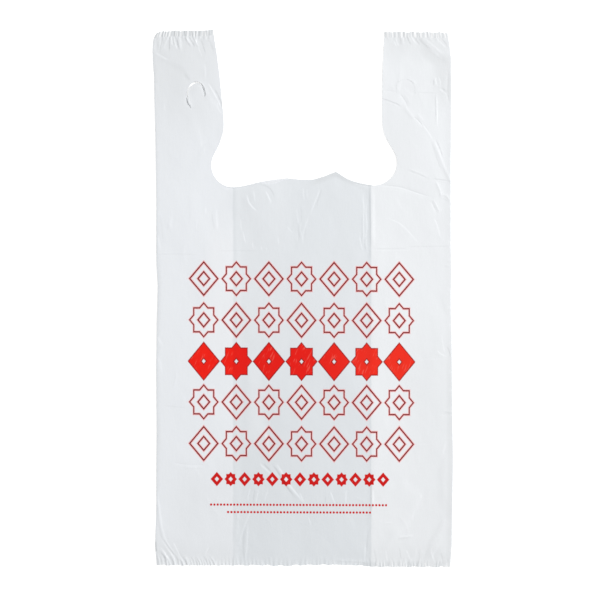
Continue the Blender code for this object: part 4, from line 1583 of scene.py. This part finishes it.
def fine_bumps(rulers):
    """The crinkles and the grain of the film, which are too fine for the mesh."""
    crinkle = noise(rulers["column"], rulers["row"], "crinkle")
    grain = noise(rulers["column"], rulers["row"], "grain")
    tree = crinkle.tree
    bump = tree.nodes.new("ShaderNodeBump")
    bump.inputs["Strength"].default_value = 0.35
    bump.inputs["Distance"].default_value = 0.25 * MM
    tree.links.new((crinkle + grain * 0.07).socket, bump.inputs["Height"])
    return bump.outputs["Normal"]


def film_finish(name, has_print):
    """Milky film, a little more see-through where there are fewer layers."""
    material = bpy.data.materials.new(name)
    material.use_nodes = True
    tree = material.node_tree
    shader = next(node for node in tree.nodes if node.type == "BSDF_PRINCIPLED")
    for socket, value in (("Roughness", 0.38), ("IOR", 1.5), ("Specular IOR Level", 0.25)):
        shader.inputs[socket].default_value = value
    rulers = make_rulers(tree)
    layers = layer_share(rulers)
    tone = film_tone(rulers, layers, MIDDLE_TONE if has_print else INSIDE_TONE)
    if has_print:
        tone = printed(rulers, layers, tone)
    tree.links.new(tone, shader.inputs["Base Color"])
    tree.links.new(fine_bumps(rulers), shader.inputs["Normal"])
    return material


def looked_at(tree):
    """1 for rays that look at a thing, also in a gloss or through film, and 0 for those that light it."""
    rays = tree.nodes.new("ShaderNodeLightPath")
    names = ("Is Camera Ray", "Is Glossy Ray", "Is Transmission Ray")
    return reduce(Term.high, [Term(tree, rays.outputs[name]) for name in names])


FLOOR_REACH = 6.0
FLOOR_HEIGHT = -0.05 * MM
FLOOR_GLOW = 0.62  # how strongly the floor shines by itself to rays that look at it
AMBIENT = 0.42  # how strongly the surroundings light things, of how bright they look


def make_floor():
    """A large white floor that still takes the bag's shadow."""
    mesh = bpy.data.meshes.new("floor")
    signs = ((-1, -1), (1, -1), (1, 1), (-1, 1))
    corners = [(x * FLOOR_REACH, y * FLOOR_REACH, FLOOR_HEIGHT) for x, y in signs]
    mesh.from_pydata(corners, [], [(0, 1, 2, 3)])
    floor = bpy.data.objects.new("floor", mesh)
    bpy.context.scene.collection.objects.link(floor)
    material = bpy.data.materials.new("floor_white")
    material.use_nodes = True
    tree = material.node_tree
    shader = next(node for node in tree.nodes if node.type == "BSDF_PRINCIPLED")
    shader.inputs["Base Color"].default_value = (0.8, 0.8, 0.8, 1.0)
    shader.inputs["Roughness"].default_value = 1.0
    shader.inputs["Specular IOR Level"].default_value = 0.0
    shader.inputs["Emission Color"].default_value = (1.0, 1.0, 1.0, 1.0)
    tree.links.new((looked_at(tree) * FLOOR_GLOW).socket, shader.inputs["Emission Strength"])
    mesh.materials.append(material)
    return floor


def make_surroundings():
    """An even studio: white where it is looked at, and soft light from all round."""
    world = bpy.data.worlds.new("studio")
    bpy.context.scene.world = world
    world.use_nodes = True
    tree = world.node_tree
    back = next(node for node in tree.nodes if node.type == "BACKGROUND")
    back.inputs["Color"].default_value = (1.0, 1.0, 1.0, 1.0)
    tree.links.new((looked_at(tree) * (1.0 - AMBIENT) + AMBIENT).socket, back.inputs["Strength"])


# A large soft lamp to the right and a little above the bag
LAMP = {"place": (4.40, 2.40, 3.70), "size": 1.8, "power": 352.0}


def make_lamp():
    """The studio's lamp, turned to the bag."""
    data = bpy.data.lights.new("lamp", "AREA")
    data.shape = "DISK"
    data.size = LAMP["size"]
    data.energy = LAMP["power"]
    light = bpy.data.objects.new("lamp", data)
    light.location = LAMP["place"]
    light.rotation_euler = (-Vector(LAMP["place"])).to_track_quat("-Z", "Y").to_euler()
    bpy.context.scene.collection.objects.link(light)


CAMERA_HEIGHT = 2.4
FRAME_WIDTH = 2 * FRAME_MIDDLE * PIXEL
SENSOR_WIDTH = 36.0


def make_camera():
    """The photograph's view: straight down, from far enough for the sides not to spread."""
    data = bpy.data.cameras.new("camera")
    data.sensor_width = SENSOR_WIDTH
    data.lens = SENSOR_WIDTH * CAMERA_HEIGHT / FRAME_WIDTH
    data.clip_end = 20.0
    camera = bpy.data.objects.new("camera", data)
    x, y = seen_at([(FRAME_MIDDLE, FRAME_MIDDLE)])[0]
    camera.location = (x, y, CAMERA_HEIGHT)
    bpy.context.scene.collection.objects.link(camera)
    bpy.context.scene.camera = camera


bag = make_film()
floor = make_floor()
make_surroundings()
make_lamp()
make_camera()
bpy.context.scene.view_settings.view_transform = "Standard"

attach(bag, "root")
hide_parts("bag")
